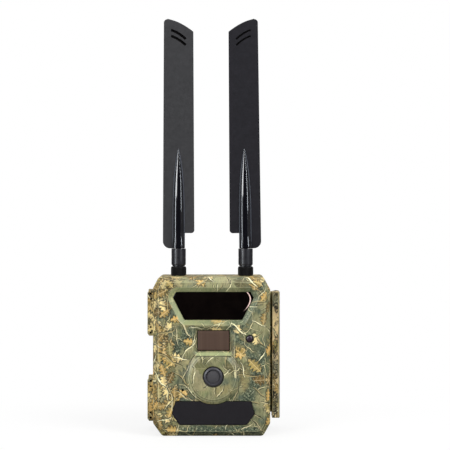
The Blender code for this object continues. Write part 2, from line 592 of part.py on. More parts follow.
def make_power_inlet():
    """External power jack that opens through the base, and its rubber plug."""
    block = box((JACK_X - JACK_HALF, JACK_Y - JACK_HALF, WALL + GAP),
                (JACK_X + JACK_HALF, JACK_Y + JACK_HALF, 16.0))
    jack = make("dc_jack", block, "gloss_black", "front_unit")
    bore = rod("z", (JACK_X, JACK_Y), PLUG_STEM + GAP + 0.1, 0.0, 12.0, SIDES["small"])
    shape(jack, bore, "DIFFERENCE", "bore")
    make_axis("dc_plug", (JACK_X, JACK_Y, 0.0), "front_unit")
    profile = [(0, 0.4), (PLUG_HEAD, 0.4), (PLUG_HEAD, 2.2), (PLUG_STEM, 2.2), (PLUG_STEM, 9.0),
               (0, 9.0)]
    make("dc_plug", turned(profile, "z", (JACK_X, JACK_Y), 16), "seal_rubber", "dc_plug")


# ---------------------------------------------------------------- rear case and latch

def make_rear_cover():
    """Shallow rear shell with hinge knuckles, latch ears and a groove for the seal."""
    rings = [case_ring(SPLIT_Y + GAP, 0.0), case_ring(REAR_Y - REAR_BEVEL, 0.0),
             case_ring(REAR_Y, REAR_BEVEL)]
    cover = make("rear_cover", loft(rings), "camo_shell", "rear_case")
    cavity = loft([case_ring(SPLIT_Y - 1.0, RIM), case_ring(REAR_Y - WALL, RIM)])
    shape(cover, cavity, "DIFFERENCE", "cavity")
    for label, (low, high) in HINGE_SPANS.items():
        for end, start in (("low", low), ("high", high - KNUCKLE_LENGTH)):
            block, barrel = knuckle(start, start + KNUCKLE_LENGTH, REAR_LEAF)
            shape(cover, block, "UNION", "block_" + label + "_" + end)
            shape(cover, barrel, "UNION", "barrel_" + label + "_" + end)
    axis_x, axis_y = LATCH_AXIS
    for label, low in (("low", LATCH_BARREL_SPAN[0] - GAP - LATCH_EAR),
                       ("high", LATCH_BARREL_SPAN[1] + GAP)):
        block = box((CASE_RIGHT - 5.5, axis_y - LATCH_BARREL, low),
                    (axis_x, axis_y + LATCH_BARREL - 2.0, low + LATCH_EAR))
        shape(cover, block, "UNION", "ear_block_" + label)
        ear = rod("z", LATCH_AXIS, LATCH_BARREL, low, low + LATCH_EAR)
        shape(cover, ear, "UNION", "ear_" + label)
    rail_low, rail_high = LATCH_BARREL_SPAN[0] - LATCH_EAR, LATCH_BARREL_SPAN[1] + LATCH_EAR
    rail = box((CASE_RIGHT - LEAF_ROOT, LATCH_RAIL[0], rail_low),
               (LATCH_RAIL_X, LATCH_RAIL[1], rail_high))
    shape(cover, rail, "UNION", "latch_rail")
    outer, inner = SEAL_INSETS[0] - GAP, SEAL_INSETS[1] + GAP
    groove = [case_ring(SPLIT_Y - PAST, outer), case_ring(SPLIT_Y + SEAL_DEPTH + GAP, outer)]
    groove = make_tool("groove", loft(groove))
    core = [case_ring(SPLIT_Y - 2 * PAST, inner), case_ring(SPLIT_Y + SEAL_DEPTH + PAST, inner)]
    shape(groove, loft(core), "DIFFERENCE", "core")
    apply_tool(cover, groove, "DIFFERENCE", "groove")
    bores = [rod("y", TRIPOD, TRIPOD_OUTER + GAP, REAR_Y - TRIPOD_DEPTH, REAR_Y + PAST)]
    for low, high in HINGE_SPANS.values():
        bores.append(rod("z", HINGE, HINGE_BORE, low - PAST, high + PAST, SIDES["small"]))
    pin_bore = rail_low - 2 * PAST, rail_high + 2 * PAST
    bores.append(rod("z", LATCH_AXIS, LATCH_BORE, *pin_bore, SIDES["small"]))
    shape(cover, together(*bores), "DIFFERENCE", "bores")


def make_rear_fittings():
    """Seal, pins, tripod insert and the two strap bridges."""
    outer, inner = SEAL_INSETS
    seal = loft([case_ring(SPLIT_Y + GAP, outer), case_ring(SPLIT_Y + SEAL_DEPTH, outer)])
    gasket = make("rear_gasket", seal, "seal_rubber", "rear_case")
    core = [case_ring(SPLIT_Y - PAST, inner), case_ring(SPLIT_Y + SEAL_DEPTH + PAST, inner)]
    shape(gasket, loft(core), "DIFFERENCE", "core")
    for label, (low, high) in HINGE_SPANS.items():
        pin = rod("z", HINGE, HINGE_PIN, low + GAP, high - GAP, SIDES["small"])
        make("hinge_pin_" + label, pin, "steel", "rear_case")
    pin = rod("z", LATCH_AXIS, LATCH_PIN, LATCH_BARREL_SPAN[0] - LATCH_EAR,
              LATCH_BARREL_SPAN[1] + LATCH_EAR, SIDES["small"])
    make("latch_pin", pin, "steel", "rear_case")
    inner_y = REAR_Y - TRIPOD_DEPTH
    insert = [(TRIPOD_BORE, inner_y), (TRIPOD_OUTER, inner_y), (TRIPOD_OUTER, REAR_Y),
              (TRIPOD_BORE, REAR_Y)]
    make("tripod_insert", turned(insert, "y", TRIPOD), "brass", "rear_case")
    foot_y, rear_y, shoulder_y = REAR_Y + GAP, BRIDGE_REAR_Y, BRIDGE_REAR_Y - BRIDGE_CHAMFER[0]
    low, high = BRIDGE_SPAN
    slot_low, slot_high = STRAP_SPAN
    profile = [(foot_y, low), (shoulder_y, low), (rear_y, low + BRIDGE_CHAMFER[1]),
               (rear_y, high - BRIDGE_CHAMFER[1]), (shoulder_y, high), (foot_y, high),
               (foot_y, slot_high), (STRAP_REAR_Y, slot_high), (STRAP_REAR_Y, slot_low),
               (foot_y, slot_low)]
    for side, x in BRIDGE_CENTRES.items():
        bridge = prism(profile, "yz", x - BRIDGE_HALF_WIDTH, x + BRIDGE_HALF_WIDTH)
        make("strap_bridge_" + side, bridge, "camo_shell", "rear_case")


def make_latch():
    """Tall side latch: a finger plate on a long barrel that turns on its pin."""
    axis_x, axis_y = LATCH_AXIS
    make_axis("latch", (axis_x, axis_y, 0.0))
    outer, inner, web = LATCH_OUTER_X, LATCH_INNER_X, LATCH_WEB_X
    front_y, rear_y, lip_y = LATCH_FRONT_Y, axis_y - 4.6, LATCH_FRONT_Y + 5.5
    hook_front, hook_rear, hook_root = LATCH_HOOK
    profile = [(inner + 1.2, front_y), (outer - 1.6, front_y), (outer, front_y + 1.6),
               (outer, rear_y - 1.6), (outer - 1.6, rear_y), (web - 0.5, rear_y),
               (web, hook_root), (inner, hook_rear), (inner, hook_front), (web, hook_front),
               (web, lip_y), (inner, lip_y), (inner, front_y + 1.2)]
    plate = make("latch_lever", prism(profile, "xy", *LATCH_SPAN), "camo_latch", "latch")
    low, high = LATCH_BARREL_SPAN
    arm = box((web - 0.4, axis_y - LATCH_ARM, low), (axis_x + LATCH_BARREL - 0.4, axis_y, high))
    shape(plate, arm, "UNION", "arm")
    shape(plate, rod("z", LATCH_AXIS, LATCH_BARREL, low, high), "UNION", "barrel")
    bore = rod("z", LATCH_AXIS, LATCH_BORE, low - PAST, high + PAST, SIDES["small"])
    shape(plate, bore, "DIFFERENCE", "bore")


# ---------------------------------------------------------------- antennas

def make_socket_and_nut(side, x):
    """Threaded antenna socket in the top wall, and the nut that clamps the antenna to it."""
    centre = (x, ANTENNA_Y)
    under_wall, tip = CASE_HEIGHT - WALL - GAP, NUT_TOP - 1.1
    flange, base = SOCKET_FLANGE_RADIUS, under_wall - SOCKET_FLANGE
    socket = [(0, base), (flange, base), (flange, under_wall), (SOCKET_RADIUS, under_wall),
              (SOCKET_RADIUS, tip), (0, tip)]
    make("sma_socket_" + side, turned(socket, "z", centre, 16), "brass", "front_unit")
    make_axis("nut_" + side, (x, ANTENNA_Y, CASE_HEIGHT), "front_unit")
    base = CASE_HEIGHT + GAP
    nut = [(SOCKET_BORE, base), (NUT_RADIUS - 0.5, base), (NUT_RADIUS, base + 0.7),
           (NUT_RADIUS, NUT_TOP - 0.7), (NUT_RADIUS - 0.6, NUT_TOP), (SOCKET_BORE, NUT_TOP)]
    make("antenna_nut_" + side, turned(nut, "z", centre), "antenna_black", "nut_" + side)


def make_collar(side, x):
    """Elbow collar: a fork, open at the top and the rear, that the antenna tilts in."""
    centre = (x, ANTENNA_Y)
    make_axis("collar_" + side, (x, ANTENNA_Y, CASE_HEIGHT), "front_unit")
    profile = [(0, NUT_TOP - 0.8), (SOCKET_RADIUS, NUT_TOP - 0.8), (SOCKET_RADIUS, NUT_TOP + GAP),
               (NECK_RADIUS, NUT_TOP + GAP), (NECK_RADIUS, NECK_TOP), (COLLAR_RADIUS, NECK_TOP),
               (COLLAR_RADIUS, COLLAR_TOP), (0, COLLAR_TOP)]
    collar = make("antenna_collar_" + side, turned(profile, "z", centre), "antenna_black",
                  "collar_" + side)
    half = TONGUE_HALF_WIDTH + GAP
    swing = TONGUE_RADIUS + GAP + 0.1
    reach = 2 * COLLAR_RADIUS
    far_y, far_z = ANTENNA_Y + reach, PIVOT_Z + reach
    slot = box((x - half, ANTENNA_Y - swing, PIVOT_Z - swing), (x + half, far_y, far_z))
    shape(collar, slot, "DIFFERENCE", "slot")
    sweep = arc((ANTENNA_Y, PIVOT_Z), CHEEK_SWEEP, 90.0, 0.0, 8)
    corner = sweep + [(far_y, PIVOT_Z), (far_y, far_z), (ANTENNA_Y, far_z)]
    shape(collar, prism(corner, "yz", x - reach, x + reach), "DIFFERENCE", "cheek_round")
    elbow = (ANTENNA_Y, PIVOT_Z)
    bore = rod("x", elbow, ELBOW_PIN + GAP, x - reach, x + reach, SIDES["small"])
    shape(collar, bore, "DIFFERENCE", "pin_bore")
    pin = rod("x", elbow, ELBOW_PIN, x - COLLAR_RADIUS + 1.1, x + COLLAR_RADIUS - 1.1,
              SIDES["small"])
    make("elbow_pin_" + side, pin, "steel", "collar_" + side)


def spine_half(share, tip):
    """Half size of the spine at a share of its length, which closes to its tip in an ogive."""
    return tip + (SPINE_RADIUS - tip) * (1.0 - share ** 4)


def spine_height(share):
    """Height of a share of the spine's length."""
    return SPINE_BASE_Z + (SPINE_TIP_Z - SPINE_BASE_Z) * share


def spine_ring(x, share):
    """Oval section of the spine: round at its base, and narrow and deep at its tip."""
    half_width = spine_half(share, SPINE_TIP_HALF_WIDTH)
    half_depth = spine_half(share, SPINE_TIP_HALF_DEPTH)
    angles = [2 * pi * k / SPINE_SIDES for k in range(SPINE_SIDES)]
    z = spine_height(share)
    return [(x + half_width * cos(a), ANTENNA_Y + half_depth * sin(a), z) for a in angles]


def spine_seat():
    """Outline of the cut-out in the blade that the spine sits in."""
    right = [(SPINE_RADIUS + GAP, BLADE_LOW - PAST)]
    for share in SPINE_SHARES:
        right.append((spine_half(share, SPINE_TIP_HALF_WIDTH) + GAP, spine_height(share) + GAP))
    return right + [(-x, z) for x, z in reversed(right)]


def blade_height(x):
    """Height of the blade's top edge, a shallow arc that falls to the inner side."""
    share = (x + BLADE_TOP_HALF_WIDTH) / (2 * BLADE_TOP_HALF_WIDTH)
    bulge = BLADE_TOP_BULGE * sin(pi * share)
    return BLADE_OUTER_TOP + (BLADE_INNER_TOP - BLADE_OUTER_TOP) * share + bulge


def blade_outline():
    """Blade about its own axis, with its outer side at -X: stepped foot and sloping top."""
    half, top_half = BLADE_HALF_WIDTH, BLADE_TOP_HALF_WIDTH
    foot_radius, step_radius = BLADE_FOOT_RADIUS, BLADE_STEP_RADIUS
    foot = arc((-half + foot_radius, BLADE_LOW + foot_radius), foot_radius, 180.0, 270.0, 5)
    step = arc((half - step_radius, BLADE_STEP + step_radius), step_radius, -90.0, 0.0, 3)
    tops = [top_half - 2 * top_half * k / 8 for k in range(9)]
    return foot + [(0.0, BLADE_LOW), (0.0, BLADE_STEP)] + step + [(x, blade_height(x)) for x in tops]


def blade_groove(inner, middle, outer):
    """Outline of a curved groove across the blade, through three heights."""
    lower, upper = [], []
    for k in range(7):
        share = k / 6
        x = GROOVE_INNER - (GROOVE_INNER + GROOVE_OUTER) * share
        bend = middle - (inner + outer) / 2
        z = inner + (outer - inner) * share + 4 * bend * share * (1 - share)
        lower.append((x, z - GROOVE_WIDTH / 2))
        upper.append((x, z + GROOVE_WIDTH / 2))
    return lower + upper[::-1]


def make_antenna(side, x, outer_side, lean):
    """Glossy spine with its elbow tongue, and the flat blade on both sides of it."""
    pivot = (x, ANTENNA_Y, PIVOT_Z)
    body = "antenna_" + side
    make_axis(body, pivot, "collar_" + side)
    spine = loft([spine_ring(x, share) for share in SPINE_SHARES])
    rod_piece = make("antenna_spine_" + side, leaned(spine, pivot, lean), "gloss_black", body)
    half = TONGUE_HALF_WIDTH
    shank = box((x - half, ANTENNA_Y - TONGUE_RADIUS, PIVOT_Z),
                (x + half, ANTENNA_Y + TONGUE_RADIUS, SPINE_BASE_Z + PAST))
    shape(rod_piece, leaned(shank, pivot, lean), "UNION", "shank")
    eye = rod("x", (ANTENNA_Y, PIVOT_Z), TONGUE_RADIUS, x - half, x + half)
    shape(rod_piece, leaned(eye, pivot, lean), "UNION", "eye")
    reach = half + PAST
    bore = rod("x", (ANTENNA_Y, PIVOT_Z), ELBOW_PIN + GAP, x - reach, x + reach, SIDES["small"])
    shape(rod_piece, bore, "DIFFERENCE", "bore")

    def placed(outline):
        return [(x - outer_side * u, v) for u, v in outline]

    front, rear = ANTENNA_Y - BLADE_HALF_THICKNESS, ANTENNA_Y + BLADE_HALF_THICKNESS
    plate = prism(placed(blade_outline()), "xz", front, rear)
    blade = make("antenna_blade_" + side, leaned(plate, pivot, lean), "antenna_black", body)
    cuts = [prism(placed(spine_seat()), "xz", front - PAST, rear + PAST)]
    for heights in BLADE_GROOVES:
        groove = placed(blade_groove(*heights))
        cuts.append(prism(groove, "xz", front - PAST, front + GROOVE_DEPTH))
        cuts.append(prism(groove, "xz", rear - GROOVE_DEPTH, rear + PAST))
    shape(blade, leaned(together(*cuts), pivot, lean), "DIFFERENCE", "seat_and_grooves")


def main():
    """Clear the scene and build every piece."""
    for old in list(bpy.data.objects):
        bpy.data.objects.remove(old, do_unlink=True)
    make_materials()
    make_axis("front_unit", (HINGE[0], HINGE[1], 0.0))
    make_front_housing()
    make_windows()
    make_lens()
    make_infrared_array()
    make_boards()
    make_chassis()
    make_keys_and_switch()
    make_cards()
    make_battery_bay()
    make_power_inlet()
    make_rear_cover()
    make_rear_fittings()
    make_latch()
    for side, (x, outer_side, lean) in ANTENNAS.items():
        make_socket_and_nut(side, x)
        make_collar(side, x)
        make_antenna(side, x, outer_side, lean)


main()
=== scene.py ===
import json
from math import atan2, cos, pi, radians, sin, sqrt, tau

import bmesh
import bpy
from mathutils import Matrix, Vector


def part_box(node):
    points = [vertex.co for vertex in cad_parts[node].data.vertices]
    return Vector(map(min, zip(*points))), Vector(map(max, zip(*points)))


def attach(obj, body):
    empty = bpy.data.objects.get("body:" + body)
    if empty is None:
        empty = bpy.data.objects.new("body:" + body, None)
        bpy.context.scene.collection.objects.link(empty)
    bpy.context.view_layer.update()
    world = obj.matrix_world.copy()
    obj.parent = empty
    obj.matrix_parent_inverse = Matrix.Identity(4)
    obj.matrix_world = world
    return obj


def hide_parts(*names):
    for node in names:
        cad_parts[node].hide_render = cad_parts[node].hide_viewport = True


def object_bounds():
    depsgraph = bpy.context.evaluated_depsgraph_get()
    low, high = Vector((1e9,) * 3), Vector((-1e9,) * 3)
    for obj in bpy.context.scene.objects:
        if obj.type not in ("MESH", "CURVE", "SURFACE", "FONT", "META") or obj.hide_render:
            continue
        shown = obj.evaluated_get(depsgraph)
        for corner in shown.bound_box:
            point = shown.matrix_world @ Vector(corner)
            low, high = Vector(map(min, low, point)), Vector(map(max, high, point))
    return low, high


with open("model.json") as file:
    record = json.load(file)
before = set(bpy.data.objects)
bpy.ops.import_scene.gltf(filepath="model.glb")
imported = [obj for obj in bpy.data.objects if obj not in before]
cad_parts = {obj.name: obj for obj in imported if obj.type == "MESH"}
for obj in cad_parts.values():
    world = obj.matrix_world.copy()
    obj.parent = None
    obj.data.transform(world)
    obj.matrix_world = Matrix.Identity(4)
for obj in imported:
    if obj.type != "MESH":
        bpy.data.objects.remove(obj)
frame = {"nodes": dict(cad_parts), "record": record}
CAD_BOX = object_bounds()

# Coordinates below are millimetres in the frame's axes: the lens faces -Y and +Z is up.
MM = 0.001
GAP = 0.3                      # clearance between pieces
PAST = 1.0                     # cutters run this far past a face


def span(node):
    """Lowest and highest corner of a CAD node, in millimetres."""
    low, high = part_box(node)
    return Vector(low) / MM, Vector(high) / MM


def middle(node, first, second):
    """Middle of a CAD node along two of its axes, in millimetres."""
    low, high = span(node)
    return (low[first] + high[first]) / 2, (low[second] + high[second]) / 2


def joint_point(name):
    """Place of a joint's axis, in millimetres."""
    joint = next(item for item in frame["record"]["behaviour"]["joints"] if item["name"] == name)
    return Vector(joint["pos_m"]) / MM


def elbow(side):
    """Place of the axis about which an antenna folds, in millimetres."""
    return joint_point("antenna_" + side + "_tilt")


# ---------------------------------------------------------------- places, from the frame

SEAL_LOW, SEAL_HIGH = span("rear_gasket")
SEAL_INSET = 1.5
CASE_LEFT, CASE_RIGHT = SEAL_LOW.x - SEAL_INSET, SEAL_HIGH.x + SEAL_INSET
CASE_HEIGHT = span("front_housing")[1].z
CUT_LOWER_LEFT, CUT_LOWER_RIGHT = (8.3, 11.5), (6.4, 11.6)
CUT_UPPER_RIGHT, CUT_UPPER_LEFT = (6.3, 11.6), (5.2, 10.3)
CASE_CORNER = 4.0
PANEL_LOW, PANEL_HIGH = span("lower_panel")
FRONT_Y = PANEL_LOW.y
SPLIT_Y = joint_point("case_hinge").y
REAR_Y = span("strap_bridge_left")[0].y - GAP
WALL, FRONT_WALL, RIM = 2.5, 5.0, 4.0
CAVITY_Y = FRONT_Y + FRONT_WALL

LENS_Z = middle("lens_bezel", 0, 2)[1]
LENS_FRONT, LENS_BORE = FRONT_Y - 3.0, 9.5
BOSS_BASE, BOSS_TOP, BOSS_FLAT_Z = 24.9, 20.4, 72.1
IR_LOW, IR_HIGH = span("ir_window")
IR_SHOULDER, IR_WAIST, IR_TOP, IR_FOOT = 124.6, 36.6, 33.6, 26.0
PIR_LOW, PIR_HIGH = span("pir_window")
SENSOR_LOW, SENSOR_HIGH = span("light_sensor")
SENSOR = middle("light_sensor", 0, 2)
MICROPHONE = middle("microphone", 0, 2)
JACK_LOW, JACK_HIGH = span("dc_plug")

HINGE = joint_point("case_hinge")
KNUCKLE_RADIUS, KNUCKLE_LENGTH, HINGE_BORE = 2.9, 4.5, 1.4
HINGE_LEFT, HINGE_RIGHT = HINGE.x - KNUCKLE_RADIUS, CASE_LEFT + 1.5
FRONT_LEAF, REAR_LEAF, LEAF_CLEARANCE = 16.0, 8.7, 5.0
SINK_X, SINK_HOLES = HINGE.x + 0.2, (3.0, 8.0)
LEAF_Y = HINGE.y - FRONT_LEAF
LATCH = joint_point("latch_hinge")
LATCH_LOW, LATCH_HIGH = span("latch_lever")
LATCH_PIN_LOW, LATCH_PIN_HIGH = span("latch_pin")
LATCH_WEB, LATCH_BARREL, LATCH_BORE, EAR_LENGTH = 2.8, 3.3, 1.4, 6.0
RAIL_FRONT, RAIL_REAR = 19.0, 22.4
INSERT_LOW, INSERT_HIGH = span("tripod_insert")
INSERT_BORE = 2.88             # a plug closes the inner end of the tripod insert's bore

ANTENNA_SIDES = {"left": -1.0, "right": 1.0}
ANTENNA_Y = elbow("left").y
ANTENNA_EXTRA = 0.5            # nuts and collars are this much wider in radius than in the CAD
NUT_BORE, ELBOW_BORE = 3.4, 1.2
RIGHT_LEAN = 0.6
SPINE_START, SPINE_LENGTH = 8.12, 91.2  # above the elbow's axis, just clear of the collar
SPINE_TIP, SPINE_SWELL = 0.4, 5.3
SEAT_START, SEAT_LENGTH = 8.3, 91.0
BLADE_HALF, GROOVE_DEPTH, INLAY_DEPTH, INLAY = 2.0, 1.3, 0.9, 0.45
GROOVE_WIDTHS, GROOVE_HEIGHTS = {"left": 2.4, "right": 1.7}, (364.7, 359.2)


# ---------------------------------------------------------------- outlines

def inset(outline, distance):
    """Move every side of an anticlockwise outline inwards by a distance."""
    moved = []
    count = len(outline)
    for i in range(count):
        before, here, after = outline[i - 1], outline[i], outline[(i + 1) % count]
        first = Vector((here[0] - before[0], here[1] - before[1])).normalized()
        second = Vector((after[0] - here[0], after[1] - here[1])).normalized()
        normal_a, normal_b = Vector((-first.y, first.x)), Vector((-second.y, second.x))
        middle = (normal_a + normal_b).normalized()
        step = middle * (distance / max(middle.dot(normal_a), 0.2))
        moved.append((here[0] + step.x, here[1] + step.y))
    return moved


def rounded(outline, radius, steps=8):
    """Replace every corner of an outline with an arc of a radius."""
    points = []
    count = len(outline)
    for i in range(count):
        here = Vector(outline[i])
        to_before = (Vector(outline[i - 1]) - here).normalized()
        to_after = (Vector(outline[(i + 1) % count]) - here).normalized()
        half = to_before.angle(to_after) / 2.0
        centre = here + (to_before + to_after).normalized() * (radius / sin(half))
        start = here + to_before * (radius / sin(half) * cos(half)) - centre
        finish = here + to_after * (radius / sin(half) * cos(half)) - centre
        start_angle = atan2(start.y, start.x)
        turn = (atan2(finish.y, finish.x) - start_angle + pi) % tau - pi
        for k in range(steps + 1):
            angle = start_angle + turn * k / steps
            points.append((centre.x + radius * cos(angle), centre.y + radius * sin(angle)))
    return points


def rectangle(low, high):
    """Anticlockwise rectangle between two corners."""
    return [(low[0], low[1]), (high[0], low[1]), (high[0], high[1]), (low[0], high[1])]


def arc(centre, radius, start, finish, steps):
    """Points along an arc, angles in degrees."""
    angles = [radians(start + (finish - start) * k / steps) for k in range(steps + 1)]
    return [(centre[0] + radius * cos(a), centre[1] + radius * sin(a)) for a in angles]


def case_outline():
    """Octagon of the case, anticlockwise from the lower left."""
    return [(CASE_LEFT + CUT_LOWER_LEFT[0], 0.0),
            (CASE_RIGHT - CUT_LOWER_RIGHT[0], 0.0),
            (CASE_RIGHT, CUT_LOWER_RIGHT[1]),
            (CASE_RIGHT, CASE_HEIGHT - CUT_UPPER_RIGHT[1]),
            (CASE_RIGHT - CUT_UPPER_RIGHT[0], CASE_HEIGHT),
            (CASE_LEFT + CUT_UPPER_LEFT[0], CASE_HEIGHT),
            (CASE_LEFT, CASE_HEIGHT - CUT_UPPER_LEFT[1]),
            (CASE_LEFT, CUT_LOWER_LEFT[1])]


def mirrored(half_widths):
    """Outline that is symmetric about X = 0, from (height, half width) pairs going up."""
    right = [(width, height) for height, width in half_widths]
    return right + [(-x, z) for x, z in reversed(right)]


def ir_outline():
    """Hexagonal outline of the infrared window's opening."""
    low, high = IR_LOW.z - GAP, IR_HIGH.z + GAP
    return mirrored(((low, IR_FOOT), (IR_SHOULDER, IR_WAIST), (high, IR_TOP)))


def pir_outline():
    """Rectangular outline of the motion window's opening."""
    return rectangle((PIR_LOW.x - GAP, PIR_LOW.z - GAP), (PIR_HIGH.x + GAP, PIR_HIGH.z + GAP))


def panel_outline(extra, steps=24):
    """Trim panel with a round notch under the lens; extra widens it for its recess."""
    half_widths = ((PANEL_LOW.z, 29.9), (20.6, PANEL_HIGH.x), (PANEL_HIGH.z, 33.8))
    outline = inset(mirrored(half_widths), -extra)
    notch = BOSS_BASE + GAP - extra
    top = outline[2][1]
    start = -90.0 + (180.0 / pi) * atan2(sqrt(notch ** 2 - (LENS_Z - top) ** 2), LENS_Z - top)
    curve = arc((0.0, LENS_Z), notch, start, -180.0 - start, steps)
    corners = rounded(outline, 0.8, 4)
    per_corner = len(corners) // len(outline)
    return corners[:3 * per_corner] + curve + corners[3 * per_corner:]


# ---------------------------------------------------------------- solids

PLACE = {"xz": lambda u, v, w: (u, w, v), "xy": lambda u, v, w: (u, v, w),
         "yz": lambda u, v, w: (w, u, v)}


def loft(rings, hollow=False):
    """Solid through rings of points, with flat ends; a hollow one runs back to its first ring."""
    bm = bmesh.new()
    rows = [[bm.verts.new(point) for point in ring] for ring in rings]
    count = len(rows[0])
    for lower, upper in zip(rows, rows[1:] + rows[:1] * hollow):
        for i in range(count):
            j = (i + 1) % count
            bm.faces.new((lower[i], lower[j], upper[j], upper[i]))
    if not hollow:
        bm.faces.new(rows[0])
        bm.faces.new(rows[-1])
    return bm


def stacked(plane, levels):
    """Solid through (outline, level) pairs along the third axis."""
    return loft([[PLACE[plane](u, v, level) for u, v in outline] for outline, level in levels])


def prism(outline, plane, low, high):
    """Outline in a plane, extruded along the third axis."""
    return stacked(plane, ((outline, low), (outline, high)))


def soft_prism(outline, plane, low, high, edge):
    """Extruded outline whose two rims are rounded over by edge."""
    rounding = ((1.0, 0.0), (0.45, 0.1), (0.12, 0.4), (0.0, 1.0))
    start = [(inset(outline, edge * share), low + edge * rise) for share, rise in rounding]
    end = [(inset(outline, edge * share), high - edge * rise) for share, rise in reversed(rounding)]
    return stacked(plane, start + end)


def turned(profile, axis, centre, sides=96):
    """Solid of revolution from (radius, distance) pairs; a profile off the axis is a closed loop."""
    bm = bmesh.new()
    place = {"x": lambda c, s, w: (w, centre[0] + c, centre[1] + s),
             "y": lambda c, s, w: (centre[0] + c, w, centre[1] + s),
             "z": lambda c, s, w: (centre[0] + c, centre[1] + s, w)}[axis]
    rows = []
    for radius, along in profile:
        count = sides if radius else 1
        rows.append([bm.verts.new(place(radius * cos(tau * k / sides), radius * sin(tau * k / sides),
                                        along)) for k in range(count)])
    pairs = list(zip(rows, rows[1:]))
    if profile[0][0] > 0:
        pairs.append((rows[-1], rows[0]))
    for lower, upper in pairs:
        for i in range(sides):
            j = (i + 1) % sides
            corners = [lower[i % len(lower)], lower[j % len(lower)],
                       upper[j % len(upper)], upper[i % len(upper)]]
            bm.faces.new(list(dict.fromkeys(corners)))
    return bm


def lathed(profile, start, centre, sides=96):
    """Solid of revolution about Y, whose profile is measured from a level."""
    return turned([(radius, start + along) for radius, along in profile], "y", centre, sides)


def rod(axis, centre, radius, low, high, sides=48):
    """Plain round bar."""
    return turned([(0, low), (radius, low), (radius, high), (0, high)], axis, centre, sides)


def barrel(centre, radius, low, high, soft):
    """Upright round bar with softened ends."""
    profile = [(0, low), (radius - soft, low), (radius, low + soft), (radius, high - soft),
               (radius - soft, high), (0, high)]
    return turned(profile, "z", centre, 48)


def box(low, high):
    """Block between two corners."""
    return prism(rectangle(low[:2], high[:2]), "xy", low[2], high[2])


def leaned(solid, side):
    """Lean a right antenna's solid inwards about its pivot, as the frame has it."""
    if side == "right":
        turn = Matrix.Rotation(radians(-RIGHT_LEAN), 3, "Y")
        bmesh.ops.rotate(solid, cent=elbow(side), matrix=turn, verts=solid.verts)
    return solid


# ---------------------------------------------------------------- pieces

def raw(name, solid):
    """Object from a solid in millimetres."""
    bmesh.ops.recalc_face_normals(solid, faces=solid.faces)
    bmesh.ops.scale(solid, vec=(MM, MM, MM), verts=solid.verts)
    mesh = bpy.data.meshes.new(name)
    solid.to_mesh(mesh)
    solid.free()
    piece = bpy.data.objects.new(name, mesh)
    bpy.context.collection.objects.link(piece)
    return piece


def bake_modifiers(piece):
    """Replace a piece's mesh with the mesh that its modifiers give."""
    bpy.context.view_layer.update()
    evaluated = piece.evaluated_get(bpy.context.evaluated_depsgraph_get())
    mesh = bpy.data.meshes.new_from_object(evaluated)
    piece.modifiers.clear()
    piece.data = mesh


def cut(*solids):
    """Boolean steps that take solids away."""
    return [("DIFFERENCE", solid) for solid in solids]


def join(*solids):
    """Boolean steps that add solids."""
    return [("UNION", solid) for solid in solids]


def shape(piece, steps):
    """Run (operation, solid) Boolean steps on a piece and keep the result."""
    tools = []
    for operation, solid in steps:
        tool = raw("tool", solid)
        tool.hide_render = True
        tools.append(tool)
        modifier = piece.modifiers.new("step", "BOOLEAN")
        modifier.operation = operation
        modifier.solver = "EXACT"
        modifier.object = tool
    bake_modifiers(piece)
    for tool in tools:
        bpy.data.objects.remove(tool, do_unlink=True)


def soften(piece, width):
    """Bevel the sharp edges of a piece."""
    bevel = piece.modifiers.new("edge", "BEVEL")
    bevel.width = width * MM
    bevel.segments = 2
    bevel.limit_method = "ANGLE"
    bevel.angle_limit = radians(40)


def finish(piece, look, body, slot, node=None, angle=32.0):
    """Shade, paint and mount a piece, and let it stand for a CAD node."""
    piece.data.materials.clear()
    piece.data.materials.append(MATERIALS[look])
    piece.data.shade_smooth()
    piece.data.set_sharp_from_angle(angle=radians(angle))
    weighted = piece.modifiers.new("weighted", "WEIGHTED_NORMAL")
    weighted.keep_sharp = True
    bake_modifiers(piece)
    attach(piece, body)
    if node:
        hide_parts(node)


# ---------------------------------------------------------------- materials

def paint(red, green, blue):
    """Linear colour from 0 to 255 display values."""
    linear = []
    for value in (red, green, blue):
        share = value / 255
        linear.append(share / 12.92 if share <= 0.04045 else ((share + 0.055) / 1.055) ** 2.4)
    return (*linear, 1.0)


def toned(colour, factor):
    """Colour made lighter or darker."""
    return (*(min(value * factor, 1.0) for value in colour[:3]), 1.0)


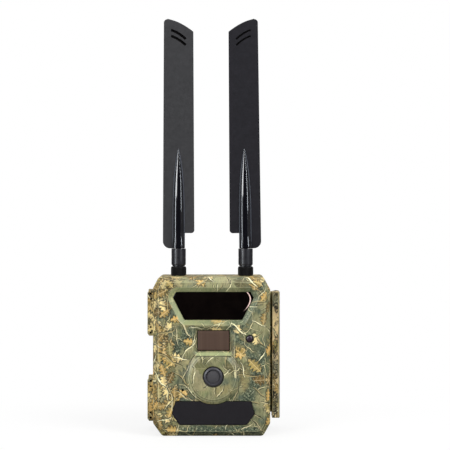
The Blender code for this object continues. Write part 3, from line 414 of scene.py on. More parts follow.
class Graph:
    """Node tree of a material or a world, with short calls for the nodes that it needs."""

    def __init__(self, name, kind="materials", shader="Principled BSDF"):
        self.owner = getattr(bpy.data, kind).new(name)
        self.owner.use_nodes = True
        self.tree = self.owner.node_tree
        self.shader = self.tree.nodes[shader]

    def put(self, socket, value):
        """Link a socket, or set its value."""
        if isinstance(value, bpy.types.NodeSocket):
            self.tree.links.new(value, socket)
        else:
            socket.default_value = value

    def add(self, kind, inputs=(), **settings):
        """New node with settings, and inputs as (socket, value) pairs."""
        node = self.tree.nodes.new("ShaderNode" + kind)
        for name, value in settings.items():
            setattr(node, name, value)
        for socket, value in inputs:
            self.put(node.inputs[socket], value)
        return node

    def math(self, operation, a, b=0.0, c=0.0):
        """Math on numbers."""
        return self.add("Math", ((0, a), (1, b), (2, c)), operation=operation).outputs[0]

    def times(self, first, *others):
        """Product of numbers."""
        for other in others:
            first = self.math("MULTIPLY", first, other)
        return first

    def plus(self, a, b):
        """Sum of two numbers."""
        return self.math("ADD", a, b)

    def minus(self, a, b):
        """Difference of two numbers."""
        return self.math("SUBTRACT", a, b)

    def over(self, a, b):
        """Quotient of two numbers."""
        return self.math("DIVIDE", a, b)

    def most(self, a, b):
        """Larger of two numbers."""
        return self.math("MAXIMUM", a, b)

    def size(self, a):
        """Number without its sign."""
        return self.math("ABSOLUTE", a)

    def below(self, a, b):
        """1 where a is less than b."""
        return self.math("LESS_THAN", a, b)

    def above(self, a, b):
        """1 where a is more than b."""
        return self.math("GREATER_THAN", a, b)

    def vector(self, operation, a, b=(0.0, 0.0, 0.0)):
        """Math on vectors."""
        node = self.add("VectorMath", ((0, a), (1, b)), operation=operation)
        return node.outputs["Value" if operation in ("LENGTH", "DOT_PRODUCT") else "Vector"]

    def scaled(self, vector, scale):
        """Vector times a number."""
        return self.vector("MULTIPLY", vector, (scale, scale, scale))

    def split(self, vector):
        """The three parts of a vector."""
        return self.add("SeparateXYZ", ((0, vector),)).outputs

    def join(self, x, y, z=0.0):
        """Vector from three numbers."""
        return self.add("CombineXYZ", ((0, x), (1, y), (2, z))).outputs[0]

    def fade(self, value, start, end, low=0.0, high=1.0):
        """Smooth change from low to high as value goes from start to end."""
        inputs = ((0, value), (1, start), (2, end), (3, low), (4, high))
        node = self.add("MapRange", inputs, interpolation_type="SMOOTHSTEP", clamp=True)
        return node.outputs[0]

    def near(self, value, centre, far, close, low=0.0, high=1.0):
        """Smooth change from low to high as value comes from far to close to the centre."""
        return self.fade(self.size(self.minus(value, centre)), far, close, low, high)

    def lay(self, base, colour, *masks):
        """Colour laid over a base through the product of masks."""
        return self.mix(self.times(*masks), base, colour)

    def mix(self, factor, a, b, blend="MIX"):
        """Mix of two colours."""
        node = self.add("Mix", data_type="RGBA", blend_type=blend)
        for socket, value in ((0, factor), (6, a), (7, b)):
            self.put(node.inputs[socket], value)
        return node.outputs[2]

    def ramp(self, value, stops):
        """Colour from (place, colour) stops."""
        node = self.add("ValToRGB", ((0, value),))
        ramp = node.color_ramp
        while len(ramp.elements) < len(stops):
            ramp.elements.new(1.0)
        for element, (place, colour) in zip(ramp.elements, stops):
            element.position = place
            element.color = colour
        return node.outputs[0]

    def noise(self, vector, size, detail=2.0, rough=0.5, distortion=0.0):
        """Noise whose features are size long, in the vector's units."""
        inputs = (("Vector", vector), ("Scale", 1.0 / size), ("Detail", detail),
                  ("Roughness", rough), ("Distortion", distortion))
        return self.add("TexNoise", inputs).outputs

    def drift(self, place, size, detail, reach):
        """Place moved about by noise, up to half of reach each way."""
        noise = self.vector("SUBTRACT", self.noise(place, size, detail)[1], (0.5, 0.5, 0.5))
        return self.vector("ADD", place, self.scaled(noise, reach))

    def voronoi(self, vector, scale, randomness=1.0, feature="F1"):
        """Flat pattern of scattered cells."""
        inputs = (("Vector", vector), ("Scale", scale), ("Randomness", randomness))
        return self.add("TexVoronoi", inputs, voronoi_dimensions="2D", feature=feature).outputs

    def place(self):
        """Object coordinates in millimetres."""
        return self.scaled(self.add("TexCoord").outputs["Object"], 1.0 / MM)

    def smears(self, start, end):
        """Roughness of a polished face, and the smears that it follows."""
        smears = self.noise(self.place(), 14.0, 4.0, 0.6, 1.2)[0]
        return self.fade(smears, 0.35, 0.7, start, end), smears

    def bump(self, height, distance, strength=1.0):
        """Bump from a height, with its distance in millimetres."""
        inputs = (("Height", height), ("Distance", distance * MM), ("Strength", strength))
        self.put(self.shader.inputs["Normal"], self.add("Bump", inputs).outputs[0])

    def set(self, **values):
        """Set the shader's own sockets; underscores stand for spaces."""
        for name, value in values.items():
            self.put(self.shader.inputs[name.replace("_", " ")], value)
        return self.owner


def print_place(g):
    """Flat coordinates of the print in millimetres, which run on round the side walls."""
    coords = g.add("TexCoord")
    x, y, z = g.split(g.scaled(coords.outputs["Object"], 1.0 / MM))
    normal_x, _, normal_z = g.split(coords.outputs["Normal"])
    depth = g.minus(y, FRONT_Y)
    u = g.math("MULTIPLY_ADD", normal_x, depth, x)
    v = g.math("MULTIPLY_ADD", normal_z, depth, z)
    return g.join(u, v)


def cells(g, place, pitch, shift):
    """One turned copy of local coordinates for each cell of a scattered pattern."""
    offset = (37.1 * shift, 91.7 * shift, 0.0)
    wavy = g.drift(place, 3.2, 2.0, 7.0)
    cell = g.voronoi(g.vector("ADD", wavy, offset), 1.0 / pitch, 0.9)
    centre = g.vector("SUBTRACT", cell["Position"], offset)
    roll = g.add("SeparateColor", ((0, cell["Color"]),)).outputs
    inputs = (("Vector", g.vector("SUBTRACT", place, centre)), ("Angle", g.times(roll[0], tau)))
    turn = g.add("VectorRotate", inputs, rotation_type="Z_AXIS")
    along, across, _ = g.split(turn.outputs[0])
    return along, across, centre, roll


def leaf_masks(g, inside, present, veins, half, tint, soft, shade_reach, rim):
    """Masks of a leaf from its inner distance: the leaf, its shadow, its veins and its edge."""
    mask = g.times(g.fade(inside, -soft, soft), present)
    shadow = g.minus(g.times(g.fade(inside, -shade_reach, 0.0), present), mask)
    return {"mask": mask, "shadow": shadow, "veins": veins, "half": half, "tint": tint,
            "edge": g.fade(inside, rim, 0.02)}


def leaves(g, place, pitch, length, width, shift, density, lobes=2.7, soft=0.05):
    """Masks of one lobed leaf in each cell."""
    along, across, centre, roll = cells(g, place, pitch, shift)
    wobble = g.noise(place, 1.6, 2.0)[0]
    reach = g.over(along, length)
    away = g.size(across)
    profile = g.minus(1.0, g.times(reach, reach))
    teeth = g.math("PINGPONG", g.math("MULTIPLY_ADD", reach, lobes, 0.3), 0.5)
    outline = g.times(profile, g.math("MULTIPLY_ADD", teeth, 1.25, 0.38))
    outline = g.plus(outline, g.math("MULTIPLY_ADD", wobble, 0.5, -0.25))
    inside = g.minus(outline, g.over(away, width))
    ribs = g.math("MULTIPLY_ADD", away, -0.8, along)
    ribs = g.math("PINGPONG", g.over(ribs, 3.4), 0.5)
    veins = g.most(g.fade(away, 0.32, 0.12), g.times(g.fade(ribs, 0.09, 0.03), 0.7))
    return leaf_masks(g, inside, g.below(roll[1], density(g, centre)), veins,
                      g.fade(across, -0.3, 0.3, 0.84, 1.1), roll[2], soft, 0.42, 0.16)


def star_leaves(g, place, pitch, radius, shift, density):
    """Masks of one pointed leaf with five lobes in each cell."""
    along, across, centre, roll = cells(g, place, pitch, shift)
    wobble = g.noise(place, 1.3, 2.0)[0]
    twist = g.math("MULTIPLY_ADD", g.noise(place, 4.0, 1.0)[0], 2.2, -1.1)
    turn = g.plus(g.math("ARCTAN2", across, along), twist)
    away = g.math("SQRT", g.plus(g.times(along, along), g.times(across, across)))
    ray = g.times(g.math("PINGPONG", g.over(turn, tau / 5.0), 0.5), 2.0)
    lobe = g.math("POWER", g.minus(1.0, ray), 1.15)
    reach = g.times(g.math("MULTIPLY_ADD", lobe, 0.60, 0.42),
                    g.fade(along, -radius, radius, 0.55, 1.15))
    reach = g.plus(reach, g.math("MULTIPLY_ADD", wobble, 0.6, -0.3))
    inside = g.minus(reach, g.over(away, radius))
    half = g.fade(g.minus(across, g.times(along, 0.5)), -3.0, 3.0, 0.72, 1.16)
    return leaf_masks(g, inside, g.below(roll[1], density(g, centre)),
                      g.fade(g.times(ray, away), 0.9, 0.35), half, roll[2], 0.04, 0.30, 0.14)


def lay_leaves(g, base, leaf, stops, vein_colour, shadow_colour, shadow_share=0.7):
    """Paint a leaf layer over a base colour."""
    base = g.lay(base, shadow_colour, leaf["shadow"], shadow_share)
    colour = g.ramp(leaf["tint"], stops)
    colour = g.mix(1.0, colour, g.join(leaf["half"], leaf["half"], leaf["half"]), "MULTIPLY")
    colour = g.lay(colour, shadow_colour, leaf["edge"], 0.7)
    colour = g.lay(colour, vein_colour, leaf["veins"], 0.55)
    return g.mix(leaf["mask"], base, colour)


def twigs(g, place, pitch, length, width, shift, density):
    """Masks of one crooked twig in each cell: the twig, its dark side and its random shade."""
    along, across, centre, roll = cells(g, place, pitch, shift)
    bent = g.plus(across, g.times(g.math("SINE", g.times(along, 0.33)), 0.9))
    bent = g.plus(bent, g.math("MULTIPLY_ADD", g.noise(place, 2.4, 1.0)[0], 1.6, -0.8))
    half = g.times(g.minus(1.0, g.over(g.size(along), length)), width)
    present = g.below(roll[1], density(g, centre))
    mask = g.times(g.fade(g.minus(half, g.size(bent)), -0.06, 0.12), present)
    dark = g.minus(g.plus(half, 0.35), g.size(g.plus(bent, 0.4)))
    dark = g.times(g.fade(dark, 0.0, 0.25), g.above(half, 0.0), present)
    return mask, dark, roll[2]


def streak(g, place, start, end, width):
    """Soft band between two points of the print."""
    run = Vector((end[0] - start[0], end[1] - start[1], 0.0))
    direction = run.normalized()
    local = g.vector("SUBTRACT", place, (start[0], start[1], 0.0))
    along = g.over(g.vector("DOT_PRODUCT", local, direction), run.length)
    across = g.size(g.vector("DOT_PRODUCT", local, (-direction.y, direction.x, 0.0)))
    return g.times(g.fade(across, width, width * 0.35), g.fade(along, -0.12, 0.1),
                   g.fade(along, 1.12, 0.9))


def torn_bands(g, place, tear, bands):
    """Streaks with torn edges; tear is the noise's size and its reach."""
    torn = g.drift(place, tear[0], 3.0, tear[1])
    mask = 0.0
    for start, end, width in bands:
        mask = g.most(mask, streak(g, torn, start, end, width))
    return mask


def lichen_bands(g, place):
    """Where bark and lichen run over the front: slanting bands, and patches."""
    bands = torn_bands(g, place, (7.0, 16.0),
                       (((44.0, 142.0), (18.0, 92.0), 9.0), ((50.0, 84.0), (28.0, 22.0), 9.0),
                        ((14.0, 100.0), (46.0, 56.0), 5.0), ((-18.0, 96.0), (-54.0, 58.0), 7.0),
                        ((-32.0, 6.0), (44.0, 5.0), 6.0)))
    return g.most(bands, g.fade(g.noise(place, 26.0, 2.0)[0], 0.58, 0.68, 0.0, 0.6))


def gold_density(g, centre):
    """Share of cells that hold a golden leaf: most at the left and along the top."""
    x, z, _ = g.split(centre)
    share = g.times(g.fade(x, -28.0, -37.0, 0.0, 0.92), g.fade(x, -84.0, -62.0, 0.3, 1.0))
    share = g.most(share, g.fade(z, 128.0, 136.0, 0.0, 0.45))
    share = g.most(share, g.fade(x, 42.0, 50.0, 0.0, 0.3))
    away = g.vector("LENGTH", g.vector("SUBTRACT", centre, (0.0, LENS_Z, 0.0)))
    return g.times(g.most(share, 0.07), g.above(away, 26.0))


def even_density(share):
    """Density that is the same everywhere."""
    return lambda g, centre: share


def airbrush(g, place, base):
    """Soft dark and pale clouds behind the leaves, the paler hinge side, painted highlight on top and
    painted shade below.
    """
    for start, end, width, colour, strength in (
            ((-36.0, 122.0), (-40.0, 90.0), 7.0, (62, 80, 76), 0.8),
            ((-24.0, 66.0), (-34.0, 30.0), 7.0, (64, 76, 68), 0.75),
            ((34.0, 100.0), (40.0, 84.0), 9.0, (132, 140, 100), 0.6),
            ((-30.0, 128.0), (-26.0, 100.0), 10.0, (138, 152, 104), 0.6),
            ((26.0, 62.0), (33.0, 40.0), 7.0, (188, 162, 100), 0.65),
            ((-16.0, 68.0), (-12.0, 42.0), 8.0, (178, 164, 124), 0.55),
            ((0.0, 40.0), (16.0, 44.0), 6.0, (178, 160, 104), 0.5),
            ((-46.0, 62.0), (-40.0, 30.0), 6.0, (170, 160, 130), 0.7)):
        base = g.lay(base, paint(*colour), streak(g, place, start, end, width), strength)
    x, z, _ = g.split(place)
    base = g.mix(g.fade(x, -51.0, -55.0, 0.0, 0.75), base, paint(212, 200, 150))
    # painted highlight: paler along the top, where the light falls
    base = g.mix(g.fade(z, 131.0, 137.0, 0.0, 0.35), base, paint(206, 200, 152))
    # painted shade: darker along the bottom, which faces down
    return g.mix(g.fade(z, 9.5, 4.5, 0.0, 0.8), base, paint(40, 50, 40))


def relief(g, place, base):
    """Painted highlights on the window mouths, edges and lens cone, and painted shade in the cone's
    creases.
    """
    normal_y = g.size(g.split(g.add("TexCoord").outputs["Normal"])[1])
    x, z, _ = g.split(place)
    front = g.below(g.split(g.place())[1], CAVITY_Y)
    # painted highlight: the window flares paler, most on the left, where the light falls
    base = g.lay(base, paint(170, 180, 130), g.fade(normal_y, 0.97, 0.88), g.near(x, 0.0, 45.0, 43.0),
                 g.near(z, 117.0, 19.0, 18.0), g.fade(x, 10.0, -34.0, 0.22, 0.68), front)
    # painted highlight: a pale line along every bevel edge
    base = g.lay(base, paint(206, 204, 158), g.fade(normal_y, 0.998, 0.985),
                 g.fade(normal_y, 0.90, 0.95), 0.5)
    away = g.vector("LENGTH", g.vector("SUBTRACT", place, (0.0, LENS_Z, 0.0)))
    # painted shade: a dark line in the crease at the cone's foot
    base = g.lay(base, paint(48, 54, 40), g.near(away, BOSS_BASE, 0.8, 0.1, 0.0, 0.5),
                 g.below(z, BOSS_FLAT_Z), front)
    # painted highlight: a pale line on the cone's rim, strongest on the left
    base = g.lay(base, paint(196, 198, 158), g.near(away, BOSS_TOP + 0.6, 1.0, 0.3, 0.0, 0.5),
                 g.fade(x, 16.0, -12.0, 0.25, 1.0), g.below(z, BOSS_FLAT_Z - 0.4), front)
    # painted highlight: a pale ledge under the motion window
    base = g.lay(base, paint(190, 202, 144), g.fade(z, BOSS_FLAT_Z + 0.6, BOSS_FLAT_Z + 1.2),
                 g.fade(z, PIR_LOW.z + 0.3, PIR_LOW.z - 0.3), g.near(x, 0.0, 17.0, 14.0, 0.0, 0.6),
                 front)
    # painted shade: a dark line along the cone's flat top
    return g.lay(base, paint(44, 50, 34), g.near(z, BOSS_FLAT_Z, 0.9, 0.3, 0.0, 0.8),
                 g.near(x, 0.0, 17.0, 14.0), front)


def latch_edge(g, place, edge, sides):
    """Value that changes from the latch's front edge to its sides."""
    return g.near(g.split(place)[0], LATCH.x, 6.0, 26.0, edge, sides)


def latch_ground(g, place, base, lichen):
    """Pale tan bark of the latch's edge, with three darker zones of lichen and leaf litter."""
    base = g.mix(latch_edge(g, place, 0.86, 0.15), base, paint(252, 232, 186))
    clouds = g.noise(place, 9.0, 2.0)[0]
    base = g.mix(g.fade(clouds, 0.5, 0.7, 0.0, 0.45), base, paint(200, 164, 104))
    zones = torn_bands(g, place, (6.0, 13.0),
                       (((48.0, 122.0), (122.0, 108.0), 9.0), ((48.0, 61.0), (122.0, 50.0), 9.0),
                        ((48.0, 24.0), (122.0, 38.0), 8.0)))
    return g.lay(base, lichen, zones, 0.8)


def latch_density(g, centre):
    """Share of cells that hold a golden leaf on the latch: most on its sides."""
    return latch_edge(g, centre, 0.14, 0.55)


def lining(g, base):
    """Plain dark plastic on the inner faces of the two shells."""
    x, y, z = g.split(g.place())
    outline = case_outline()
    depth = WALL
    for start, end in zip(outline, outline[1:] + outline[:1]):
        run = (Vector(end) - Vector(start)).normalized()
        offset = start[0] * run.y - start[1] * run.x
        edge = g.math("MULTIPLY_ADD", z, run.x, g.math("MULTIPLY_ADD", x, -run.y, offset))
        depth = g.math("MINIMUM", depth, edge)
    return g.lay(base, paint(46, 47, 42), g.above(y, CAVITY_Y - 0.1),
                 g.below(y, REAR_Y - WALL + 0.1), g.above(depth, WALL - 0.1))


def ground(g, place):
    """Blurred floor of the wood, with dry grass."""
    base = g.ramp(g.noise(place, 21.0, 3.0, 0.5, 0.7)[0],
                  ((0.30, paint(74, 82, 60)), (0.42, paint(108, 114, 80)),
                   (0.52, paint(140, 140, 100)), (0.62, paint(166, 160, 116)),
                   (0.74, paint(184, 176, 132))))
    for shift, size, start, end, strength, colour in (
            ((311.0, 77.0, 0.0), 17.0, 0.56, 0.68, 0.75, (68, 90, 82)),
            ((91.0, 533.0, 0.0), 19.0, 0.52, 0.64, 0.55, (128, 142, 90))):
        cloud = g.noise(g.vector("ADD", place, shift), size, 2.0)[0]
        base = g.lay(base, paint(*colour), g.fade(cloud, start, end), strength)
    base = airbrush(g, place, base)
    grass = g.noise(g.vector("MULTIPLY", place, (1.0, 0.3, 1.0)), 1.7, 4.0, 0.6, 0.9)[0]
    base = g.mix(g.fade(grass, 0.35, 0.7, 0.0, 0.28), base, paint(206, 200, 152))
    return g.mix(g.fade(grass, 0.5, 0.3, 0.0, 0.38), base, paint(58, 62, 44))


def branches(g, place, base, bare):
    """Net of thin pale branches with dark sides."""
    moved = g.vector("ADD", place, g.scaled(g.noise(place, 9.0, 2.0)[1], 7.0))
    webs = g.voronoi(moved, 1 / (17.0 - 5.0 * bare), feature="DISTANCE_TO_EDGE")["Distance"]
    sparse = g.fade(g.noise(place, 14.0, 1.0)[0], 0.44 - 0.1 * bare, 0.54 - 0.1 * bare)
    base = g.lay(base, paint(46, 46, 34), g.fade(webs, 0.06, 0.025), sparse)
    return g.lay(base, paint(216, 210, 164), g.fade(webs, 0.026, 0.012), sparse)


def camouflage(name, bare):
    """Woodland print with painted light, under a satin coat; bare is 1 for the latch, whose edge is
    mostly bark.
    """
    g = Graph(name)
    place = print_place(g)
    base = ground(g, place)
    far = leaves(g, place, 19.0, 11.0, 8.5, 1.0, even_density(0.6), soft=0.25)
    base = lay_leaves(g, base, far, ((0.1, paint(108, 104, 70)), (0.4, paint(150, 142, 94)),
                                     (0.7, paint(122, 124, 80)), (0.9, paint(178, 168, 120))),
                      paint(190, 182, 136), paint(60, 66, 50), 0.45)
    bark = g.noise(place, 1.7, 5.0, 0.76, 0.8)[0]
    lichen = g.ramp(bark, ((0.38, paint(22, 36, 32)), (0.46, paint(48, 66, 56)),
                           (0.53, paint(88, 102, 80)), (0.60, paint(156, 162, 128)),
                           (0.67, paint(236, 238, 208))))
    base = g.lay(base, lichen, lichen_bands(g, place), 0.92)
    base = branches(g, place, base, bare)

    density = gold_density
    if bare:
        base = latch_ground(g, place, base, lichen)
        density = latch_density
    gold = ((0.05, paint(124, 100, 54)), (0.3, paint(186, 156, 88)), (0.5, paint(212, 180, 100)),
            (0.7, paint(152, 144, 88)), (0.9, paint(236, 218, 160)))
    for leaf in (leaves(g, place, 13.0, 8.6, 6.0, 2.0, density),
                 star_leaves(g, place, 12.0, 7.6, 6.0, density),
                 leaves(g, place, 10.0, 6.4, 4.4, 3.0, density, 2.2)):
        base = lay_leaves(g, base, leaf, gold, paint(244, 230, 176), paint(36, 38, 26), 0.85)
    for pitch, length, width, shift, share in ((24.0, 16.0, 0.75, 4.0, 0.75),
                                               (15.0, 10.0, 0.5, 5.0, 0.7)):
        twig, dark, shade = twigs(g, place, pitch, length, width, shift, even_density(share))
        base = g.lay(base, paint(36, 36, 26), dark, 0.85)
        wood = g.ramp(shade, ((0.2, paint(178, 164, 114)), (0.8, paint(246, 242, 206))))
        base = g.mix(twig, base, wood)
    if bare:
        cracks = g.noise(g.vector("MULTIPLY", place, (1.0, 0.5, 1.0)), 11.0, 4.0, 0.7, 1.2)[0]
        patch = g.fade(g.noise(place, 16.0, 1.0)[0], 0.46, 0.54, 0.15, 1.0)
        base = g.lay(base, paint(50, 46, 36), g.near(cracks, 0.5, 0.05, 0.015), patch)
    base = lining(g, relief(g, place, base))
    speck = g.noise(place, 0.5, 3.0, 0.6)[0]
    base = g.mix(0.35, base, g.ramp(speck, ((0.3, paint(104, 104, 104)), (0.7, paint(152, 152, 152)))),
                 "OVERLAY")
    g.bump(g.noise(g.place(), 0.35, 3.0, 0.6)[0], 0.05, 0.5)
    rough = g.fade(g.noise(g.place(), 6.0, 3.0)[0], 0.3, 0.7, 0.42, 0.56)
    return g.set(Base_Color=base, Roughness=rough, Specular_IOR_Level=0.35, Coat_Weight=0.08,
                 Coat_Roughness=0.40)


def moulded(name, colour, roughness, grain=0.3, depth=0.03, spread=0.12, specular=0.5):
    """Moulded plastic or rubber: fine grain, with slight changes of shade and gloss."""
    g = Graph(name)
    place = g.place()
    clouds = g.noise(place, 5.0, 6.0, 0.75)[0]
    base = g.ramp(clouds, ((0.3, toned(colour, 1 - spread)), (0.7, toned(colour, 1 + spread))))
    g.bump(g.noise(place, grain, 3.0, 0.6)[0], depth, 0.6)
    rough = g.fade(g.noise(place, 3.0, 3.0)[0], 0.3, 0.7, roughness - 0.05, roughness + 0.05)
    return g.set(Base_Color=base, Roughness=rough, Specular_IOR_Level=specular)


def polished(name, colour, roughness, specular=0.5):
    """Polished plastic or glass, with faint smears."""
    g = Graph(name)
    rough, smears = g.smears(roughness, roughness * 1.6 + 0.01)
    base = g.ramp(smears, ((0.3, colour), (0.8, toned(colour, 1.15))))
    return g.set(Base_Color=base, Roughness=rough, Specular_IOR_Level=specular)


def fresnel_sheet():
    """Brown motion window: ribbed sheet with faint upright bands."""
    g = Graph("motion_sheet")
    x = g.split(g.place())[0]
    bands = g.noise(g.join(x, 0.0), 4.5, 2.0)[0]
    base = g.ramp(bands, ((0.3, paint(77, 61, 52)), (0.5, paint(82, 65, 56)),
                          (0.7, paint(87, 70, 60))))
    g.bump(g.math("PINGPONG", g.over(x, 0.9), 0.5), 0.12, 0.5)
    return g.set(Base_Color=base, Roughness=0.38, Specular_IOR_Level=0.2)


def infrared_glass():
    """Black filter, with a pale arc near its right end: a painted reflection."""
    g = Graph("infrared_glass")
    x, _, z = g.split(g.place())
    rise = g.minus(z, 123.5)
    bend = g.math("MULTIPLY_ADD", g.above(rise, 0.0), 0.03, 0.05)
    line = g.plus(x, g.minus(g.times(rise, rise, bend), 33.3))
    rough, smears = g.smears(0.05, 0.09)
    base = g.ramp(smears, ((0.3, (0.0018, 0.0012, 0.0012, 1.0)), (0.8, (0.005, 0.0035, 0.003, 1.0))))
    # painted reflection: a pale pink arc near the window's right end
    base = g.lay(base, paint(240, 208, 198), g.near(line, 0.0, 0.7, 0.3), g.fade(z, 112.0, 118.0))
    return g.set(Base_Color=base, Roughness=rough, Specular_IOR_Level=0.25)


def spine_gloss():
    """Polished black keel on a satin flange, with a painted highlight line on the flange."""
    g = Graph("spine_gloss")
    depth = g.size(g.minus(g.split(g.place())[1], ANTENNA_Y))
    flange = g.times(g.fade(depth, 1.9, 2.2), g.fade(depth, 2.55, 2.4))
    # painted highlight: the flange painted paler, for the thin line of light along it
    base = g.lay(paint(14, 14, 19), paint(86, 90, 100), flange, 0.8)
    rough = g.plus(g.smears(0.05, 0.08)[0], g.times(flange, 0.3))
    return g.set(Base_Color=base, Roughness=rough, Specular_IOR_Level=0.6)


def metal(name, colour, roughness):
    """Plated metal with a fine turned grain."""
    g = Graph(name)
    lines = g.noise(g.vector("MULTIPLY", g.place(), (1.0, 1.0, 9.0)), 1.2, 3.0)[0]
    rough = g.fade(lines, 0.3, 0.7, roughness * 0.8, roughness * 1.3)
    g.bump(lines, 0.02, 0.4)
    base = g.ramp(lines, ((0.2, toned(colour, 0.85)), (0.8, colour)))
    return g.set(Base_Color=base, Roughness=rough, Metallic=1.0)


def circuit():
    """Green board with copper runs and pads under the mask."""
    g = Graph("circuit_board")
    x, _, z = g.split(g.place())
    flat = g.join(x, z)
    runs = g.add("TexBrick", (("Vector", flat), ("Scale", 0.35), ("Mortar Size", 0.04),
                              ("Bias", 0.0))).outputs["Fac"]
    pads = g.voronoi(flat, 0.42, 0.7)["Distance"]
    base = g.mix(runs, paint(20, 74, 44), paint(44, 116, 66))
    base = g.mix(g.fade(pads, 0.2, 0.14), base, paint(196, 170, 96))
    g.bump(runs, 0.04, 0.5)
    return g.set(Base_Color=base, Roughness=0.4)


def battery_wrap():
    """Shrink sleeve with a plain dark field and a copper-coloured end band."""
    g = Graph("battery_sleeve")
    place = g.place()
    low, high = span("battery_cell_front_1")
    share = g.over(g.minus(g.split(place)[2], low.z), high.z - low.z)
    base = g.ramp(share, ((0.0, paint(150, 150, 150)), (0.03, paint(26, 30, 30)),
                          (0.70, paint(30, 36, 34)), (0.72, paint(182, 112, 58)),
                          (0.93, paint(190, 122, 66)), (0.965, paint(190, 190, 186))))
    rough = g.fade(g.noise(place, 2.0, 4.0)[0], 0.3, 0.7, 0.2, 0.34)
    return g.set(Base_Color=base, Roughness=rough)


def display():
    """Unlit display: dark blue-grey with a fine cell grid, under a clear cover."""
    g = Graph("display_face")
    x, _, z = g.split(g.place())
    grid = g.most(*(g.fade(g.math("PINGPONG", part, 0.2), 0.03, 0.0) for part in (x, z)))
    base = g.lay(paint(34, 40, 46), paint(12, 14, 16), grid, 0.6)
    return g.set(Base_Color=base, Roughness=0.12, Coat_Weight=0.6, Coat_Roughness=0.05)


MATERIALS = {
    "camo_shell": camouflage("camo_print_and_painted_light", 0.0),
    "camo_latch": camouflage("camo_latch_print_and_painted_light", 1.0),
    "window_black": polished("deep_black", (0.0035, 0.0032, 0.0034, 1.0), 0.05, 0.3),
    "infrared_glass": infrared_glass(),
    "pir_brown": fresnel_sheet(),
    "panel_charcoal": moulded("panel_charcoal", paint(31, 29, 33), 0.6, 0.25, 0.03, 0.10, 0.15),
    # painted light: the left blade is painted lighter and the right darker, as lit and shaded copies
    # of one charcoal
    "antenna_left": moulded("blade_painted_lit", paint(52, 52, 54), 0.62, 0.5, 0.08, 0.18, 0.12),
    "antenna_right": moulded("blade_painted_shade", paint(29, 28, 33), 0.62, 0.5, 0.08, 0.22, 0.12),
    "antenna_black": moulded("nut_black", paint(13, 12, 13), 0.55, 0.25, 0.03, 0.12, 0.12),
    "collar_satin": moulded("collar_satin", paint(32, 32, 37), 0.32, 0.25, 0.02, 0.10, 0.45),
    "spine_gloss": spine_gloss(),
    "gloss_black": polished("gloss_black", paint(14, 14, 17), 0.10),
    "lens_satin": polished("lens_satin", paint(55, 54, 60), 0.34),
    "lens_grey": polished("lens_coating", paint(67, 66, 69), 0.30, 0.3),
    "sensor_dome": polished("sensor_tint", paint(52, 42, 52), 0.14),
    "seal_rubber": moulded("seal_rubber", paint(34, 34, 34), 0.85, 0.4, 0.03),
    "steel": metal("plated_steel", (0.60, 0.60, 0.61, 1.0), 0.28),
    "brass": metal("turned_brass", (0.72, 0.54, 0.24, 1.0), 0.26),
    "circuit_board": circuit(),
    "chassis_grey": moulded("chassis_grey", paint(78, 78, 80), 0.58, 0.3, 0.04),
    "key_rubber": moulded("key_rubber", paint(120, 120, 124), 0.70, 0.3, 0.03),
    "card_plastic": moulded("card_plastic", paint(40, 58, 110), 0.42, 0.3, 0.02),
    "cell_wrap": battery_wrap(),
    "display_glass": display(),
}


# ---------------------------------------------------------------- shells

def case_ring(y, depth):
    """Case outline inset by a depth, at a distance along Y."""
    return [(x, y, z) for x, z in rounded(inset(case_outline(), depth), CASE_CORNER)]


def case_block(low, high, depth):
    """Straight block with the case's outline, inset by a depth."""
    return loft([case_ring(low, depth), case_ring(high, depth)])


def mouth(outline, flare, depth, base_radius):
    """Cutter for a window: a flared mouth with a soft lip, then a straight hole."""
    profile = ((-1.0, 1.7), (-0.02, 1.16), (0.04, 1.04), (0.14, 0.86), (0.90, 0.10), (0.97, 0.03),
               (1.05, 0.0))
    rings = []
    for share, spread in profile:
        offset = flare * spread
        ring = rounded(inset(outline, -offset), base_radius + 1.3 * offset)
        y = FRONT_Y + (depth * share if share > 0 else share)
        rings.append([(x, y, z) for x, z in ring])
    rings.append([(x, CAVITY_Y + PAST, z) for x, z in rounded(outline, base_radius)])
    return loft(rings)


def front_hole(profile, start, centre, sides=96):
    """Cutter for a round hole through the front; its mouth is measured from a level."""
    inner = CAVITY_Y + PAST - start
    return lathed([(0, profile[0][1]), *profile, (profile[-1][0], inner), (0, inner)], start,
                  centre, sides)


def lens_cone():
    """Raised cone round the lens with soft edges, cut flat at the top."""
    rings = []
    for radius, depth, drop in ((BOSS_TOP - 0.9, 0.0, 0.6), (BOSS_TOP - 0.35, 0.06, 0.3),
                                (BOSS_TOP + 0.1, 0.3, 0.1), (BOSS_BASE - 0.5, 2.6, 0.0),
                                (BOSS_BASE - 0.1, 2.9, 0.0), (BOSS_BASE, 3.1, 0.0),
                                (BOSS_BASE, 4.5, 0.0)):
        circle = arc((0.0, LENS_Z), radius, 0.0, 360.0, 128)[:-1]
        rings.append([(x, LENS_FRONT + depth, min(z, BOSS_FLAT_Z - drop)) for x, z in circle])
    return loft(rings)


def microphone_tab():
    """Low rounded tab that runs from the microphone hole towards the lens."""
    x, z = MICROPHONE
    outline = arc((x + 4.4, z - 0.8), 4.4, -118.0, 62.0, 20)
    outline += arc((x - 0.6, z + 0.3), 2.4, 75.0, 255.0, 12)
    levels = ((0.5, 0.7), (0.15, 0.6), (0.0, 0.4), (-0.1, -1.0))
    return stacked("xz", [(inset(outline, depth), FRONT_Y - rise) for depth, rise in levels])


def hinge_spans():
    """Height ranges of the two hinges, from their pins."""
    pins = [span("hinge_pin_" + label) for label in ("upper", "lower")]
    return [(low.z - GAP, high.z + GAP) for low, high in pins]


def hinge_bore(low, high):
    """Cutter for a hinge pin."""
    return rod("z", HINGE[:2], HINGE_BORE, low - PAST, high + PAST)


